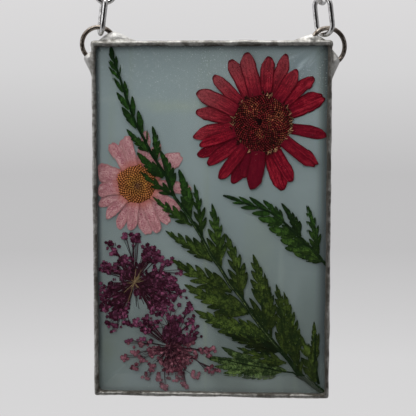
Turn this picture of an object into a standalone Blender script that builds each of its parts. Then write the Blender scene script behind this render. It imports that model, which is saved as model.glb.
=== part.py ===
"""Pressed flower frame: two panes of glass with dried flowers between them.

The panes are held by a solder border.  A wire loop stands on each top corner,
and a short oval-link chain rises from each loop.  Distances are written in
millimetres and turned into metres where a point is placed.

In the drawing plane, u runs to the right and v runs up from the middle of the
panes.  In the world, X is u, Z is up, and the front of the frame faces -Y.
The origin is the hanging point, midway between the two chains' top links.
"""

import math

import bmesh
import bpy
from mathutils import Matrix, Vector

MM = 0.001
CLEAR = 0.3
HANG_V = 122.5

# Glass panes
GLASS_WIDTH = 101.6
GLASS_HEIGHT = 152.4
BEVEL_WIDTH = 12.7
FRONT_THICKNESS = 5.0
FRONT_EDGE = 2.6
BACK_THICKNESS = 3.0
PANE_GAP = 2.0
ARRIS = 0.25
GAP_MIDDLE_Y = 0.74

# Solder border
BORDER_WIDTH = 104.0
BORDER_HEIGHT = 156.0
BORDER_ROUND = 1.2
WINDOW_WIDTH = 99.0
WINDOW_HEIGHT = 150.6
LIP = 0.65
MOUND_SINK = 0.45
LIP_CLEAR = 0.55

# Wire loops: centre, radius of the wire's middle line, wire radius, turn, ends
LEFT_LOOP_CENTRE = (-49.0, 76.8)
LEFT_LOOP_RADIUS = 7.15
LEFT_LOOP_TURN = 0.0
LEFT_LOOP_ENDS = (8.5, 238.0)
RIGHT_LOOP_CENTRE = (49.95, 75.4)
RIGHT_LOOP_RADIUS = 7.75
RIGHT_LOOP_TURN = 20.0
RIGHT_LOOP_ENDS = (161.0, -68.0)
LOOP_WIRE_RADIUS = 1.0
LOOP_STEPS = 14
LOOP_LEAN = 8.0

# Chain links
LINK_LENGTH = 18.2
LINK_WIDTH = 10.6
LINK_WIRE_RADIUS = 1.1
LINK_DROP = 2.65
LINK_GAP = 0.35
CHAIN_LEAN = 7.0
LEFT_LINK_TURNS = (17.0, 107.0, 180.0)
RIGHT_LINK_TURNS = (50.0, 155.0, 90.0)
LINK_END_STEPS = 6

# Pressed layers: distance of each layer's back from the back pane
LAYER_BACKS = (0.25, 0.8, 1.35)
PETAL_THICKNESS = 0.3
PLANT_THICKNESS = 0.24

RED_CENTRE = (21.8, 42.5)
RED_DISC_RADIUS = 13.2
RED_DISC_DEPTH = 1.35
# Petals of the red daisy: angle in degrees, reach of the tip, width
RED_PETALS = (
    (23.6, 29.0, 7.5), (41.8, 29.5, 5.0), (56.2, 27.7, 6.0), (70.5, 31.1, 5.8),
    (83.7, 28.5, 5.6), (102.5, 30.9, 6.8), (116.1, 30.1, 5.8), (135.8, 29.4, 5.5),
    (153.9, 31.2, 7.0), (169.5, 29.1, 6.5), (189.3, 30.4, 6.0), (199.3, 28.7, 4.5),
    (207.2, 31.3, 4.8), (217.0, 29.6, 5.5), (233.1, 30.3, 5.0), (244.6, 29.1, 6.5),
    (251.3, 24.9, 6.0), (263.3, 29.0, 7.3), (288.1, 30.5, 7.5), (297.0, 28.4, 5.5),
    (323.0, 29.9, 6.0), (350.2, 28.2, 5.0),
)

PINK_CENTRE = (-32.6, 15.9)
PINK_DISC_RADIUS = 9.3
PINK_DISC_DEPTH = 0.8
PINK_PETALS = (
    (33.7, 23.6, 7.5), (59.3, 20.8, 4.5), (79.0, 23.7, 4.5), (101.7, 21.7, 4.5),
    (109.0, 20.6, 4.5), (121.3, 21.0, 4.5), (162.2, 17.3, 8.0), (189.3, 16.7, 5.5),
    (210.0, 19.0, 5.0), (228.4, 20.0, 4.2), (247.5, 21.4, 4.4), (262.4, 20.5, 4.5),
    (282.8, 23.0, 6.5), (295.0, 23.2, 4.5), (309.4, 22.5, 6.0), (330.3, 22.0, 5.0),
    (356.2, 24.2, 5.0),
)

# Umbels: each row is one umbellet, given by the middles of its floret clusters
UPPER_UMBEL_CENTRE = (-33.9, -27.6)
UPPER_UMBELLETS = (
    ((-44.5, -10.5), (-41.4, -13.4), (-38.7, -16.8)),
    ((-37.9, -7.6), (-33.2, -7.8), (-36.2, -17.0)),
    ((-27.8, -12.6), (-24.9, -14.7), (-22.8, -16.8)),
    ((-25.3, -21.8), (-22.0, -23.8)),
    ((-17.8, -18.0), (-21.2, -19.3), (-13.7, -22.2)),
    ((-17.4, -25.5), (-15.3, -28.8), (-25.3, -28.8)),
    ((-13.0, -32.2),),
    ((-24.5, -34.7), (-22.0, -37.2), (-26.2, -38.8), (-18.7, -36.8)),
    ((-32.4, -33.0),),
    ((-37.4, -45.5), (-42.0, -47.6), (-44.9, -46.8)),
    ((-39.1, -42.6), (-43.7, -42.2), (-46.2, -38.8)),
    ((-47.4, -33.8), (-47.0, -30.1)),
    ((-44.9, -22.6), (-47.0, -20.5), (-39.0, -23.8)),
)
LOWER_UMBEL_CENTRE = (-18.2, -56.0)
LOWER_UMBELLETS = (
    ((-34.0, -44.7), (-28.7, -43.8), (-28.4, -48.0)),
    ((-23.3, -45.1), (-19.5, -41.3), (-17.0, -38.8), (-17.2, -43.0)),
    ((-9.3, -37.2), (-10.8, -40.1)),
    ((-9.5, -43.4), (-12.0, -45.5), (-7.8, -46.8), (-15.8, -46.8)),
    ((-7.0, -51.3), (-9.9, -53.8)),
    ((-3.7, -57.2), (0.1, -57.6)),
    ((-1.2, -65.5), (2.2, -66.3)),
    ((-6.8, -69.4), (-11.2, -73.0)),
    ((-20.8, -73.0), (-23.3, -69.7)),
    ((-27.0, -65.1), (-28.3, -69.3)),
    ((-31.2, -62.2), (-34.1, -65.1), (-38.3, -61.8)),
    ((-33.3, -58.8),),
    ((-27.8, -53.8), (-31.6, -54.3), (-36.6, -54.3)),
    ((-24.9, -58.0),),
)
FLORET_RADIUS = 2.0
FLORET_THICKNESS = 0.4
RAY_WIDTH = 0.6
UMBELLET_AT = 0.78
HUB_RADIUS = 1.5

# Long frond: midrib from the cut end to the tip, then the leaflets
LONG_MIDRIB = (
    (49.2, -75.4), (44.6, -71.8), (38.0, -66.4), (34.0, -60.8), (28.4, -54.4),
    (23.2, -48.0), (18.0, -41.0), (13.4, -33.8), (8.0, -27.2), (3.8, -20.1),
    (0.1, -15.1), (-4.5, -6.3), (-9.9, 2.4), (-15.8, 10.3), (-19.4, 19.3),
    (-25.9, 29.3), (-29.4, 36.3), (-32.9, 42.8), (-36.3, 52.3), (-39.0, 60.6),
    (-41.3, 67.1), (-43.7, 74.7),
)
# Leaflets: base on the midrib, tip, width
LONG_LEAFLETS = (
    ((-41.5, 67.6), (-41.1, 71.2), 0.9), ((-40.2, 64.0), (-39.3, 67.4), 1.1),
    ((-37.4, 55.6), (-37.7, 60.8), 1.6), ((-34.7, 48.0), (-34.4, 54.3), 2.2),
    ((-31.7, 40.6), (-31.6, 48.0), 2.6), ((-28.2, 34.0), (-27.9, 39.7), 1.5),
    ((-25.6, 28.6), (-25.7, 41.0), 3.2), ((-18.4, 16.6), (-22.9, 30.8), 4.2),
    ((-11.4, 4.4), (-14.7, 22.8), 4.2), ((-4.6, -6.2), (-7.2, 16.0), 5.5),
    ((3.2, -19.2), (0.3, 7.4), 7.2), ((12.8, -33.0), (6.3, -5.7), 7.6),
    ((22.6, -47.2), (18.2, -14.7), 7.8), ((29.0, -55.0), (28.0, -27.4), 6.2),
    ((34.6, -61.6), (32.2, -30.8), 4.4), ((40.2, -68.2), (38.4, -48.6), 3.6),
    ((-42.0, 69.4), (-44.3, 72.4), 0.9), ((-40.8, 65.8), (-44.2, 69.5), 1.0),
    ((-39.6, 62.4), (-44.0, 67.1), 1.2), ((-37.7, 56.6), (-42.2, 61.9), 1.6),
    ((-35.3, 49.6), (-41.1, 55.8), 1.8), ((-31.9, 41.0), (-39.2, 49.3), 2.4),
    ((-27.2, 32.0), (-36.8, 39.7), 3.0), ((-20.6, 21.4), (-32.4, 29.7), 3.6),
    ((-16.6, 12.4), (-30.3, 21.7), 4.2), ((-9.0, 1.0), (-25.4, 10.4), 5.2),
    ((-2.4, -10.4), (-19.9, -4.5), 6.0), ((5.8, -23.8), (-17.0, -17.0), 7.2),
    ((12.6, -32.6), (-11.6, -28.2), 7.6), ((21.0, -45.2), (-7.2, -39.4), 8.4),
    ((27.4, -53.2), (6.4, -51.0), 5.6),
)
LONG_MIDRIB_WIDTH = 0.9

# The frond's lowest leaf and its side sprig are branches with their own stems
LOWER_LEAF_MIDRIB = (
    (40.4, -69.6), (30.0, -66.6), (15.6, -64.4), (4.0, -61.6), (-4.6, -59.8),
)
LOWER_LEAF_LEAFLETS = (
    ((33.0, -67.6), (24.0, -60.6), 4.4), ((25.0, -66.0), (15.0, -58.0), 4.6),
    ((17.0, -64.8), (7.2, -57.4), 4.2), ((8.0, -62.8), (-0.6, -57.2), 3.2),
    ((30.0, -67.0), (20.0, -70.6), 3.0), ((23.0, -65.8), (13.0, -68.4), 3.2),
    ((14.4, -64.4), (4.4, -65.6), 3.2), ((5.6, -62.2), (-2.6, -63.0), 2.4),
)
SPRIG_MIDRIB = ((46.4, -70.6), (45.2, -64.0), (45.0, -56.0), (44.6, -44.2))
SPRIG_LEAFLETS = (
    ((45.3, -64.6), (42.2, -55.0), 2.8), ((45.3, -64.0), (48.4, -56.6), 2.8),
    ((45.1, -57.0), (42.8, -49.0), 2.6), ((45.0, -56.4), (47.6, -50.0), 2.6),
)

# Small frond
SMALL_MIDRIB = (
    (50.2, -19.2), (48.0, -16.3), (45.0, -12.3), (40.0, -7.3), (35.0, -2.4),
    (30.0, 0.7), (23.3, 4.7), (16.7, 7.7), (10.0, 9.7), (5.2, 11.2),
)
SMALL_LEAFLETS = (
    ((15.3, 8.0), (11.4, 11.4), 1.6), ((22.0, 5.2), (16.6, 10.4), 2.4),
    ((29.4, 1.0), (22.4, 9.4), 3.4), ((37.0, -4.4), (30.2, 7.5), 4.6),
    ((44.4, -11.6), (41.0, 6.8), 5.2), ((47.6, -16.0), (48.0, -5.2), 2.8),
    ((13.0, 8.9), (8.6, 8.0), 1.4), ((18.6, 6.9), (13.0, 5.4), 2.2),
    ((23.4, 4.6), (17.0, 2.8), 2.6), ((28.6, 1.6), (20.6, 0.8), 3.0),
    ((33.6, -1.6), (24.8, -3.2), 3.2), ((39.2, -6.6), (30.4, -8.0), 3.4),
    ((43.2, -10.6), (33.4, -11.4), 3.2), ((47.0, -15.0), (37.0, -14.8), 3.0),
)
SMALL_MIDRIB_WIDTH = 0.8

BACK_PANE_FACE = GAP_MIDDLE_Y + PANE_GAP / 2
FRONT_PANE_FACE = GAP_MIDDLE_Y - PANE_GAP / 2
STACK_BACK = BACK_PANE_FACE + BACK_THICKNESS
STACK_FRONT = FRONT_PANE_FACE - FRONT_EDGE


def world_point(u, v, y=0.0):
    """Turn drawing-plane millimetres into a world position in metres."""
    return Vector((u * MM, y * MM, (v - HANG_V) * MM))


def clear_scene():
    """Remove every object that a new file starts with."""
    for obj in list(bpy.data.objects):
        bpy.data.objects.remove(obj, do_unlink=True)


def new_collection(name):
    """Add a collection to the scene."""
    collection = bpy.data.collections.new(name)
    bpy.context.scene.collection.children.link(collection)
    return collection


def make_material(name, colour, roughness, metallic=0.0):
    """Make a Principled material from a colour, a roughness and a metallic value."""
    material = bpy.data.materials.new(name)
    material.use_nodes = True
    shader = material.node_tree.nodes["Principled BSDF"]
    shader.inputs["Base Color"].default_value = (*colour, 1.0)
    shader.inputs["Roughness"].default_value = roughness
    shader.inputs["Metallic"].default_value = metallic
    return material


def add_object(name, mesh, collection, material=None):
    """Link a mesh as a named object, with its material."""
    obj = bpy.data.objects.new(name, mesh)
    collection.objects.link(obj)
    if material is not None:
        mesh.materials.append(material)
    return obj


def hide_tool(obj):
    """Show a cutter as a wire frame that does not render."""
    obj.hide_render = True
    obj.display_type = "WIRE"


def baked(obj, name, collection, material=None):
    """Replace an object by the mesh it evaluates to, welded and in world space."""
    depsgraph = bpy.context.evaluated_depsgraph_get()
    mesh = bpy.data.meshes.new_from_object(obj.evaluated_get(depsgraph))
    mesh.transform(obj.matrix_world)
    body = bmesh.new()
    body.from_mesh(mesh)
    bmesh.ops.remove_doubles(body, verts=body.verts, dist=0.0000002)
    bmesh.ops.recalc_face_normals(body, faces=body.faces)
    body.to_mesh(mesh)
    body.free()
    mesh.materials.clear()
    bpy.data.objects.remove(obj, do_unlink=True)
    return add_object(name, mesh, collection, material)


def smooth(obj, angle=40.0):
    """Shade an object smooth, with edges above the angle kept sharp."""
    obj.data.shade_smooth()
    obj.data.set_sharp_from_angle(angle=math.radians(angle))


def box(name, low, high, collection, material=None):
    """Add a box between two world corners given in metres."""
    centre = (Vector(low) + Vector(high)) / 2
    size = Vector(high) - Vector(low)
    mesh = bpy.data.meshes.new(name)
    body = bmesh.new()
    matrix = Matrix.Translation(centre) @ Matrix.Diagonal((*size, 1.0))
    bmesh.ops.create_cube(body, size=1.0, matrix=matrix)
    body.to_mesh(mesh)
    body.free()
    return add_object(name, mesh, collection, material)


def pane_box(name, width, height, front, back, collection, material=None):
    """Add a box centred on the panes, between two depths in millimetres."""
    low = world_point(-width / 2, -height / 2, front)
    high = world_point(width / 2, height / 2, back)
    return box(name, low, high, collection, material)


def bevel(obj, width, segments):
    """Round an object's sharp edges."""
    modifier = obj.modifiers.new("rounded_edges", "BEVEL")
    modifier.width = width * MM
    modifier.segments = segments
    modifier.limit_method = "ANGLE"


def boolean(obj, tool, operation):
    """Cut an object with a tool, or join the tool to it."""
    modifier = obj.modifiers.new(operation.lower(), "BOOLEAN")
    modifier.operation = operation
    modifier.object = tool


def outline_solid(name, points, back, thickness, collection, material=None):
    """Make a flat piece from an outline, lying a distance before the back pane."""
    curve = bpy.data.curves.new(name, "CURVE")
    curve.dimensions = "2D"
    curve.fill_mode = "BOTH"
    curve.extrude = thickness / 2 * MM
    spline = curve.splines.new("POLY")
    spline.points.add(len(points) - 1)
    for slot, (u, v) in zip(spline.points, points):
        slot.co = (u * MM, v * MM, 0.0, 1.0)
    spline.use_cyclic_u = True
    obj = bpy.data.objects.new(name, curve)
    collection.objects.link(obj)
    obj.rotation_euler = (math.radians(90.0), 0.0, 0.0)
    obj.location = world_point(0.0, 0.0, BACK_PANE_FACE - back - thickness / 2)
    bpy.context.view_layer.update()
    return baked(obj, name, collection, material)


def wire_solid(name, points, radius, closed, collection, material=None):
    """Make a round wire along points given in metres."""
    curve = bpy.data.curves.new(name, "CURVE")
    curve.dimensions = "3D"
    curve.bevel_depth = radius * MM
    curve.bevel_resolution = 2
    curve.use_fill_caps = not closed
    spline = curve.splines.new("POLY")
    spline.points.add(len(points) - 1)
    for slot, point in zip(spline.points, points):
        slot.co = (*point, 1.0)
    spline.use_cyclic_u = closed
    obj = bpy.data.objects.new(name, curve)
    collection.objects.link(obj)
    bpy.context.view_layer.update()
    solid = baked(obj, name, collection, material)
    smooth(solid, 60.0)
    return solid


def unite(name, pieces, collection, material):
    """Join overlapping pieces into one solid."""
    base = pieces[0]
    operands = new_collection(name + "_pieces")
    for piece in pieces[1:]:
        for owner in list(piece.users_collection):
            owner.objects.unlink(piece)
        operands.objects.link(piece)
    modifier = base.modifiers.new("union", "BOOLEAN")
    modifier.operation = "UNION"
    modifier.operand_type = "COLLECTION"
    modifier.collection = operands
    bpy.context.view_layer.update()
    solid = baked(base, name, collection, material)
    for piece in pieces[1:]:
        bpy.data.objects.remove(piece, do_unlink=True)
    bpy.data.collections.remove(operands)
    return solid


def polar(centre, angle, reach):
    """Give the point at an angle in degrees and a distance from a centre."""
    turn = math.radians(angle)
    return centre[0] + reach * math.cos(turn), centre[1] + reach * math.sin(turn)


def along(base, tip, distance, offset):
    """Give the point beside the line from base to tip."""
    axis = (Vector(tip) - Vector(base)).normalized()
    side = Vector((-axis.y, axis.x))
    point = Vector(base) + axis * distance + side * offset
    return point.x, point.y


def petal_outline(centre, angle, start, reach, width):
    """Trace a petal: a narrow base, a wide middle and a round tip."""
    stations = ((0.0, 0.55), (0.3, 0.8), (0.62, 1.0), (0.85, 0.88), (0.96, 0.52))
    base = polar(centre, angle, start)
    tip = polar(centre, angle, reach)
    length = reach - start
    left = [along(base, tip, t * length, w * width / 2) for t, w in stations]
    right = [along(base, tip, t * length, -w * width / 2) for t, w in stations]
    return left + [tip] + right[::-1]


def leaflet_outline(base, tip, width):
    """Trace a leaflet whose teeth point towards its tip."""
    length = (Vector(tip) - Vector(base)).length
    teeth = 1 if length < 9.0 else 2 if length < 16.0 else 3
    half = [(0.0, 0.1)]
    for tooth in range(teeth):
        t = (tooth + 1.0) / (teeth + 1.0)
        envelope = math.sin(math.pi * min(1.0, 0.22 + 0.7 * t)) ** 0.8
        half.append((t, envelope))
        if tooth < teeth - 1:
            half.append((t + 0.01, envelope * 0.55))
    left = [along(base, tip, t * length, w * width / 2) for t, w in half]
    right = [along(base, tip, t * length, -w * width / 2) for t, w in half]
    return left + [tip] + right[::-1]


def floret_outline(centre, turn):
    """Trace a cluster of florets as a five-sided patch."""
    return [polar(centre, turn + step * 72.0, FLORET_RADIUS) for step in range(5)]


def strip_outline(start, end, start_width, end_width):
    """Trace a straight stalk that tapers from its start to its end."""
    length = (Vector(end) - Vector(start)).length
    return [
        along(start, end, 0.0, start_width / 2),
        along(start, end, 0.0, -start_width / 2),
        along(start, end, length, -end_width / 2),
        along(start, end, length, end_width / 2),
    ]


def midrib_outline(points, width):
    """Trace a curved stalk that tapers to a fine tip."""
    left = []
    right = []
    last = len(points) - 1
    for index, point in enumerate(points):
        before = Vector(points[max(index - 1, 0)])
        after = Vector(points[min(index + 1, last)])
        axis = (after - before).normalized()
        half = width / 2 * (1.0 - 0.6 * index / last)
        left.append((point[0] - axis.y * half, point[1] + axis.x * half))
        right.append((point[0] + axis.y * half, point[1] - axis.x * half))
    return left + right[::-1]


def build_front_glass(collection, material):
    """Make the front pane: a flat back and a broad bevel round its face."""
    mesh = bpy.data.meshes.new("front_glass")
    body = bmesh.new()
    front = FRONT_PANE_FACE - FRONT_EDGE
    low = world_point(-GLASS_WIDTH / 2, -GLASS_HEIGHT / 2, front)
    high = world_point(GLASS_WIDTH / 2, GLASS_HEIGHT / 2, FRONT_PANE_FACE)
    size = high - low
    matrix = Matrix.Translation((low + high) / 2) @ Matrix.Diagonal((*size, 1.0))
    bmesh.ops.create_cube(body, size=1.0, matrix=matrix)
    body.normal_update()
    face = [f for f in body.faces if f.normal.y < -0.9]
    bmesh.ops.inset_region(body, faces=face, thickness=BEVEL_WIDTH * MM)
    raised = [v for v in face[0].verts]
    step = Vector((0.0, -(FRONT_THICKNESS - FRONT_EDGE) * MM, 0.0))
    bmesh.ops.translate(body, verts=raised, vec=step)
    body.to_mesh(mesh)
    body.free()
    return add_object("front_glass", mesh, collection, material)


def build_back_glass(collection, material):
    """Make the back pane: a plain sheet with its sharp edges taken off."""
    glass = pane_box(
        "back_glass", GLASS_WIDTH, GLASS_HEIGHT, BACK_PANE_FACE, STACK_BACK, collection, material
    )
    bevel(glass, ARRIS, 1)
    return glass


def solder_mound(name, middle, along_side, profile, collection):
    """Turn a mound of solder about the border's edge from (distance, height) pairs.

    The middle is its (u, v, y) position, where y puts it round the loop's end.
    """
    mesh = bpy.data.meshes.new(name)
    body = bmesh.new()
    line = [body.verts.new((height * MM, 0.0, distance * MM)) for distance, height in profile]
    edges = [body.edges.new(pair) for pair in zip(line, line[1:])]
    bmesh.ops.spin(
        body, geom=line + edges, cent=(0, 0, 0), axis=(0, 0, 1), angle=2 * math.pi, steps=9
    )
    bmesh.ops.remove_doubles(body, verts=body.verts, dist=0.00001)
    bmesh.ops.scale(body, vec=(1.0, 0.75, 1.0), verts=body.verts)
    if not along_side:
        turn = Matrix.Rotation(math.radians(90.0), 3, "Y")
        bmesh.ops.rotate(body, cent=(0, 0, 0), matrix=turn, verts=body.verts)
    bmesh.ops.translate(body, vec=world_point(*middle), verts=body.verts)
    bmesh.ops.recalc_face_normals(body, faces=body.faces)
    body.to_mesh(mesh)
    body.free()
    mound = add_object(name, mesh, collection)
    hide_tool(mound)
    return mound


def loop_points(centre, radius, turn, start, end, steps):
    """Give the middle line of a round loop that is turned about the upright."""
    points = []
    for step in range(steps + 1):
        angle = math.radians(start + (end - start) * step / steps)
        flat = Vector((math.cos(angle), 0.0, math.sin(angle))) * radius * MM
        points.append(world_point(*centre) + Matrix.Rotation(math.radians(turn), 3, "Z") @ flat)
    return points


def build_loops(collection, tools, material):
    """Make the two wire loops, and a cutter for each that opens its sockets."""
    sides = (
        ("left_loop", LEFT_LOOP_CENTRE, LEFT_LOOP_RADIUS, LEFT_LOOP_TURN, LEFT_LOOP_ENDS),
        ("right_loop", RIGHT_LOOP_CENTRE, RIGHT_LOOP_RADIUS, RIGHT_LOOP_TURN, RIGHT_LOOP_ENDS),
    )
    cutters = []
    for name, centre, radius, turn, (start, end) in sides:
        points = loop_points(centre, radius, turn, start, end, LOOP_STEPS)
        wire_solid(name, points, LOOP_WIRE_RADIUS, False, collection, material)
        spare = math.degrees(CLEAR / radius) * (1.0 if end > start else -1.0)
        points = loop_points(centre, radius, turn, start - spare, end + spare, LOOP_STEPS)
        cutter = wire_solid(name + "_socket", points, LOOP_WIRE_RADIUS + CLEAR, False, tools)
        hide_tool(cutter)
        cutters.append(cutter)
    return cutters


def build_border(collection, tools, cutters, material):
    """Make the solder border: a channel over the panes' edges, with four mounds."""
    front = STACK_FRONT - LIP_CLEAR - LIP
    back = STACK_BACK + CLEAR + LIP
    border = pane_box("solder_border", BORDER_WIDTH, BORDER_HEIGHT, front, back, collection, material)
    bevel(border, BORDER_ROUND, 1)
    side = BORDER_WIDTH / 2 - MOUND_SINK
    top = BORDER_HEIGHT / 2 - MOUND_SINK
    left_side = ((3.6, 0.0), (2.4, 2.6), (0.3, 4.3), (-2.6, 2.7), (-5.6, 1.3), (-9.0, 0.0))
    right_side = ((5.6, 0.0), (3.0, 2.4), (-0.4, 3.9), (-3.6, 2.4), (-7.0, 1.0), (-10.4, 0.0))
    top_left = ((9.6, 0.0), (6.0, 1.2), (3.2, 2.6), (0.0, 3.8), (-3.0, 2.4), (-5.8, 0.0))
    top_right = ((6.4, 0.0), (3.6, 1.6), (0.0, 2.6), (-2.6, 1.6), (-5.6, 0.8), (-9.0, 0.0))
    mounds = (
        solder_mound("mound_left", (-side, 70.6, 0.0), True, left_side, tools),
        solder_mound("mound_right", (side, 69.4, 0.9), True, right_side, tools),
        solder_mound("mound_top_left", (-42.0, top, 0.0), False, top_left, tools),
        solder_mound("mound_top_right", (43.4, top, -2.0), False, top_right, tools),
    )
    for mound in mounds:
        boolean(border, mound, "UNION")
    channel = pane_box(
        "channel", GLASS_WIDTH + 2 * CLEAR, GLASS_HEIGHT + 2 * CLEAR,
        STACK_FRONT - LIP_CLEAR, STACK_BACK + CLEAR, tools,
    )
    window = pane_box("window", WINDOW_WIDTH, WINDOW_HEIGHT, front - 8.0, back + 8.0, tools)
    for tool in (channel, window):
        hide_tool(tool)
        boolean(border, tool, "DIFFERENCE")
    for cutter in cutters:
        boolean(border, cutter, "DIFFERENCE")
    return border


def link_points(bottom, turn, lean):
    """Give the middle line of an oval link that stands on its lowest point."""
    bend = LINK_WIDTH / 2 - LINK_WIRE_RADIUS
    straight = LINK_LENGTH - LINK_WIDTH
    flat = []
    for end, centre in ((180.0, bend), (0.0, bend + straight)):
        for step in range(LINK_END_STEPS + 1):
            angle = math.radians(end + 180.0 * step / LINK_END_STEPS)
            flat.append((bend * math.cos(angle), centre + bend * math.sin(angle)))
    across = math.radians(turn)
    tilt = Matrix.Rotation(math.radians(lean), 3, "Y")
    points = []
    for side, height in flat:
        local = Vector((side * math.sin(across), -side * math.cos(across), height)) * MM
        points.append(bottom + tilt @ local)
    return points


def build_chain(side, centre, radius, turn, hand, turns, collection, material):
    """Make one chain: links that hang in each other and in the wire loop."""
    angle = math.radians(90.0 + hand * LOOP_LEAN)
    top = Vector((math.cos(angle), 0.0, math.sin(angle))) * radius * MM
    contact = world_point(*centre) + Matrix.Rotation(math.radians(turn), 3, "Z") @ top
    lean = -hand * CHAIN_LEAN
    upward = Matrix.Rotation(math.radians(lean), 3, "Y") @ Vector((0.0, 0.0, 1.0))
    pitch = LINK_LENGTH - 4 * LINK_WIRE_RADIUS - LINK_GAP
    for index, link_turn in enumerate(turns):
        bottom = contact + Vector((0.0, 0.0, -LINK_DROP * MM)) + upward * pitch * index * MM
        points = link_points(bottom, link_turn, lean)
        name = f"{side}_link_{index + 1}"
        wire_solid(name, points, LINK_WIRE_RADIUS, True, collection, material)


def build_disc(name, centre, radius, depth, collection, material):
    """Make a daisy's disc: a low dome whose florets stand up in a checker."""
    mesh = bpy.data.meshes.new(name)
    body = bmesh.new()
    bmesh.ops.create_uvsphere(body, u_segments=16, v_segments=10, radius=radius * MM)
    bmesh.ops.scale(body, vec=(1.0, 1.0, depth / 2 / radius), verts=body.verts)
    for vert in body.verts:
        reach = math.hypot(vert.co.x, vert.co.y) / (radius * MM)
        ring = round(reach * 5.0)
        turn = round(math.atan2(vert.co.y, vert.co.x) / math.radians(22.5))
        if vert.co.z > 0.0 and (ring + turn) % 2 == 0:
            vert.co.z -= 0.12 * MM
    turn = Matrix.Rotation(math.radians(90.0), 3, "X")
    bmesh.ops.rotate(body, cent=(0, 0, 0), matrix=turn, verts=body.verts)
    middle = BACK_PANE_FACE - LAYER_BACKS[0] - depth / 2
    bmesh.ops.translate(body, vec=world_point(*centre, middle), verts=body.verts)
    body.to_mesh(mesh)
    body.free()
    return add_object(name, mesh, collection, material)


def build_petals(stem, centre, start, petals, layers, collection, material):
    """Lay a daisy's petals in turn on its layers, so that neighbours pass each other."""
    for index, (angle, reach, width) in enumerate(petals):
        points = petal_outline(centre, angle, start + CLEAR, reach, width)
        back = LAYER_BACKS[index % layers]
        name = f"{stem}_{index + 1:02d}"
        outline_solid(name, points, back, PETAL_THICKNESS, collection, material)


def build_umbel(name, centre, umbellets, layer, collection, material):
    """Make an umbel: rays from one point, each ending in a group of florets."""
    back = LAYER_BACKS[layer]
    hub = [polar(centre, step * 60.0, HUB_RADIUS) for step in range(6)]
    pieces = [outline_solid("hub", hub, back, PLANT_THICKNESS * 1.4, collection)]
    for florets in umbellets:
        mean = sum((Vector(floret) for floret in florets), Vector((0.0, 0.0))) / len(florets)
        fork = Vector(centre).lerp(mean, UMBELLET_AT)
        start = Vector(centre).lerp(mean, HUB_RADIUS * 0.8 / (mean - Vector(centre)).length)
        ray = strip_outline(start, fork, RAY_WIDTH, RAY_WIDTH * 0.8)
        pieces.append(outline_solid("ray", ray, back + 0.05, PLANT_THICKNESS, collection))
        for order, floret in enumerate(florets):
            if (Vector(floret) - fork).length > FLORET_RADIUS:
                stalk = strip_outline(fork, floret, RAY_WIDTH * 0.8, RAY_WIDTH * 0.6)
                lift = back + 0.07 + 0.03 * (order % 3)
                pieces.append(outline_solid("stalk", stalk, lift, PLANT_THICKNESS, collection))
            patch = floret_outline(floret, 17.0 * order)
            lift = back + 0.02 * (order % 2)
            pieces.append(outline_solid("patch", patch, lift, FLORET_THICKNESS, collection))
    return unite(name, pieces, collection, material)


def build_frond(name, midrib, width, leaflets, layer, collection, material):
    """Make a frond: a midrib with toothed leaflets grown along both sides."""
    back = LAYER_BACKS[layer]
    rib = midrib_outline(midrib, width)
    pieces = [outline_solid("midrib", rib, back, PLANT_THICKNESS * 1.3, collection)]
    for index, (base, tip, breadth) in enumerate(leaflets):
        outline = leaflet_outline(base, tip, breadth)
        lift = back + 0.03 + 0.03 * (index % 2)
        pieces.append(outline_solid("leaflet", outline, lift, PLANT_THICKNESS, collection))
    return unite(name, pieces, collection, material)


def build_flowers(collection, finishes):
    """Make every pressed flower and frond between the panes."""
    red = (RED_CENTRE, RED_DISC_RADIUS)
    build_petals("red_petal", *red, RED_PETALS, 3, collection, finishes["red_petal"])
    build_disc("red_daisy_disc", *red, RED_DISC_DEPTH, collection, finishes["red_disc"])
    pink = (PINK_CENTRE, PINK_DISC_RADIUS)
    build_petals("pink_petal", *pink, PINK_PETALS, 2, collection, finishes["pink_petal"])
    build_disc("pink_daisy_disc", *pink, PINK_DISC_DEPTH, collection, finishes["pink_disc"])
    purple = finishes["umbel"]
    build_umbel("upper_umbel", UPPER_UMBEL_CENTRE, UPPER_UMBELLETS, 0, collection, purple)
    build_umbel("lower_umbel", LOWER_UMBEL_CENTRE, LOWER_UMBELLETS, 1, collection, purple)
    green = finishes["frond"]
    rows = (
        ("long_frond", LONG_MIDRIB, LONG_MIDRIB_WIDTH, LONG_LEAFLETS, 2),
        ("long_frond_lower_leaf", LOWER_LEAF_MIDRIB, 0.7, LOWER_LEAF_LEAFLETS, 0),
        ("long_frond_side_sprig", SPRIG_MIDRIB, 0.7, SPRIG_LEAFLETS, 0),
        ("small_frond", SMALL_MIDRIB, SMALL_MIDRIB_WIDTH, SMALL_LEAFLETS, 1),
    )
    for name, midrib, width, leaflets, layer in rows:
        build_frond(name, midrib, width, leaflets, layer, collection, green)


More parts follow.
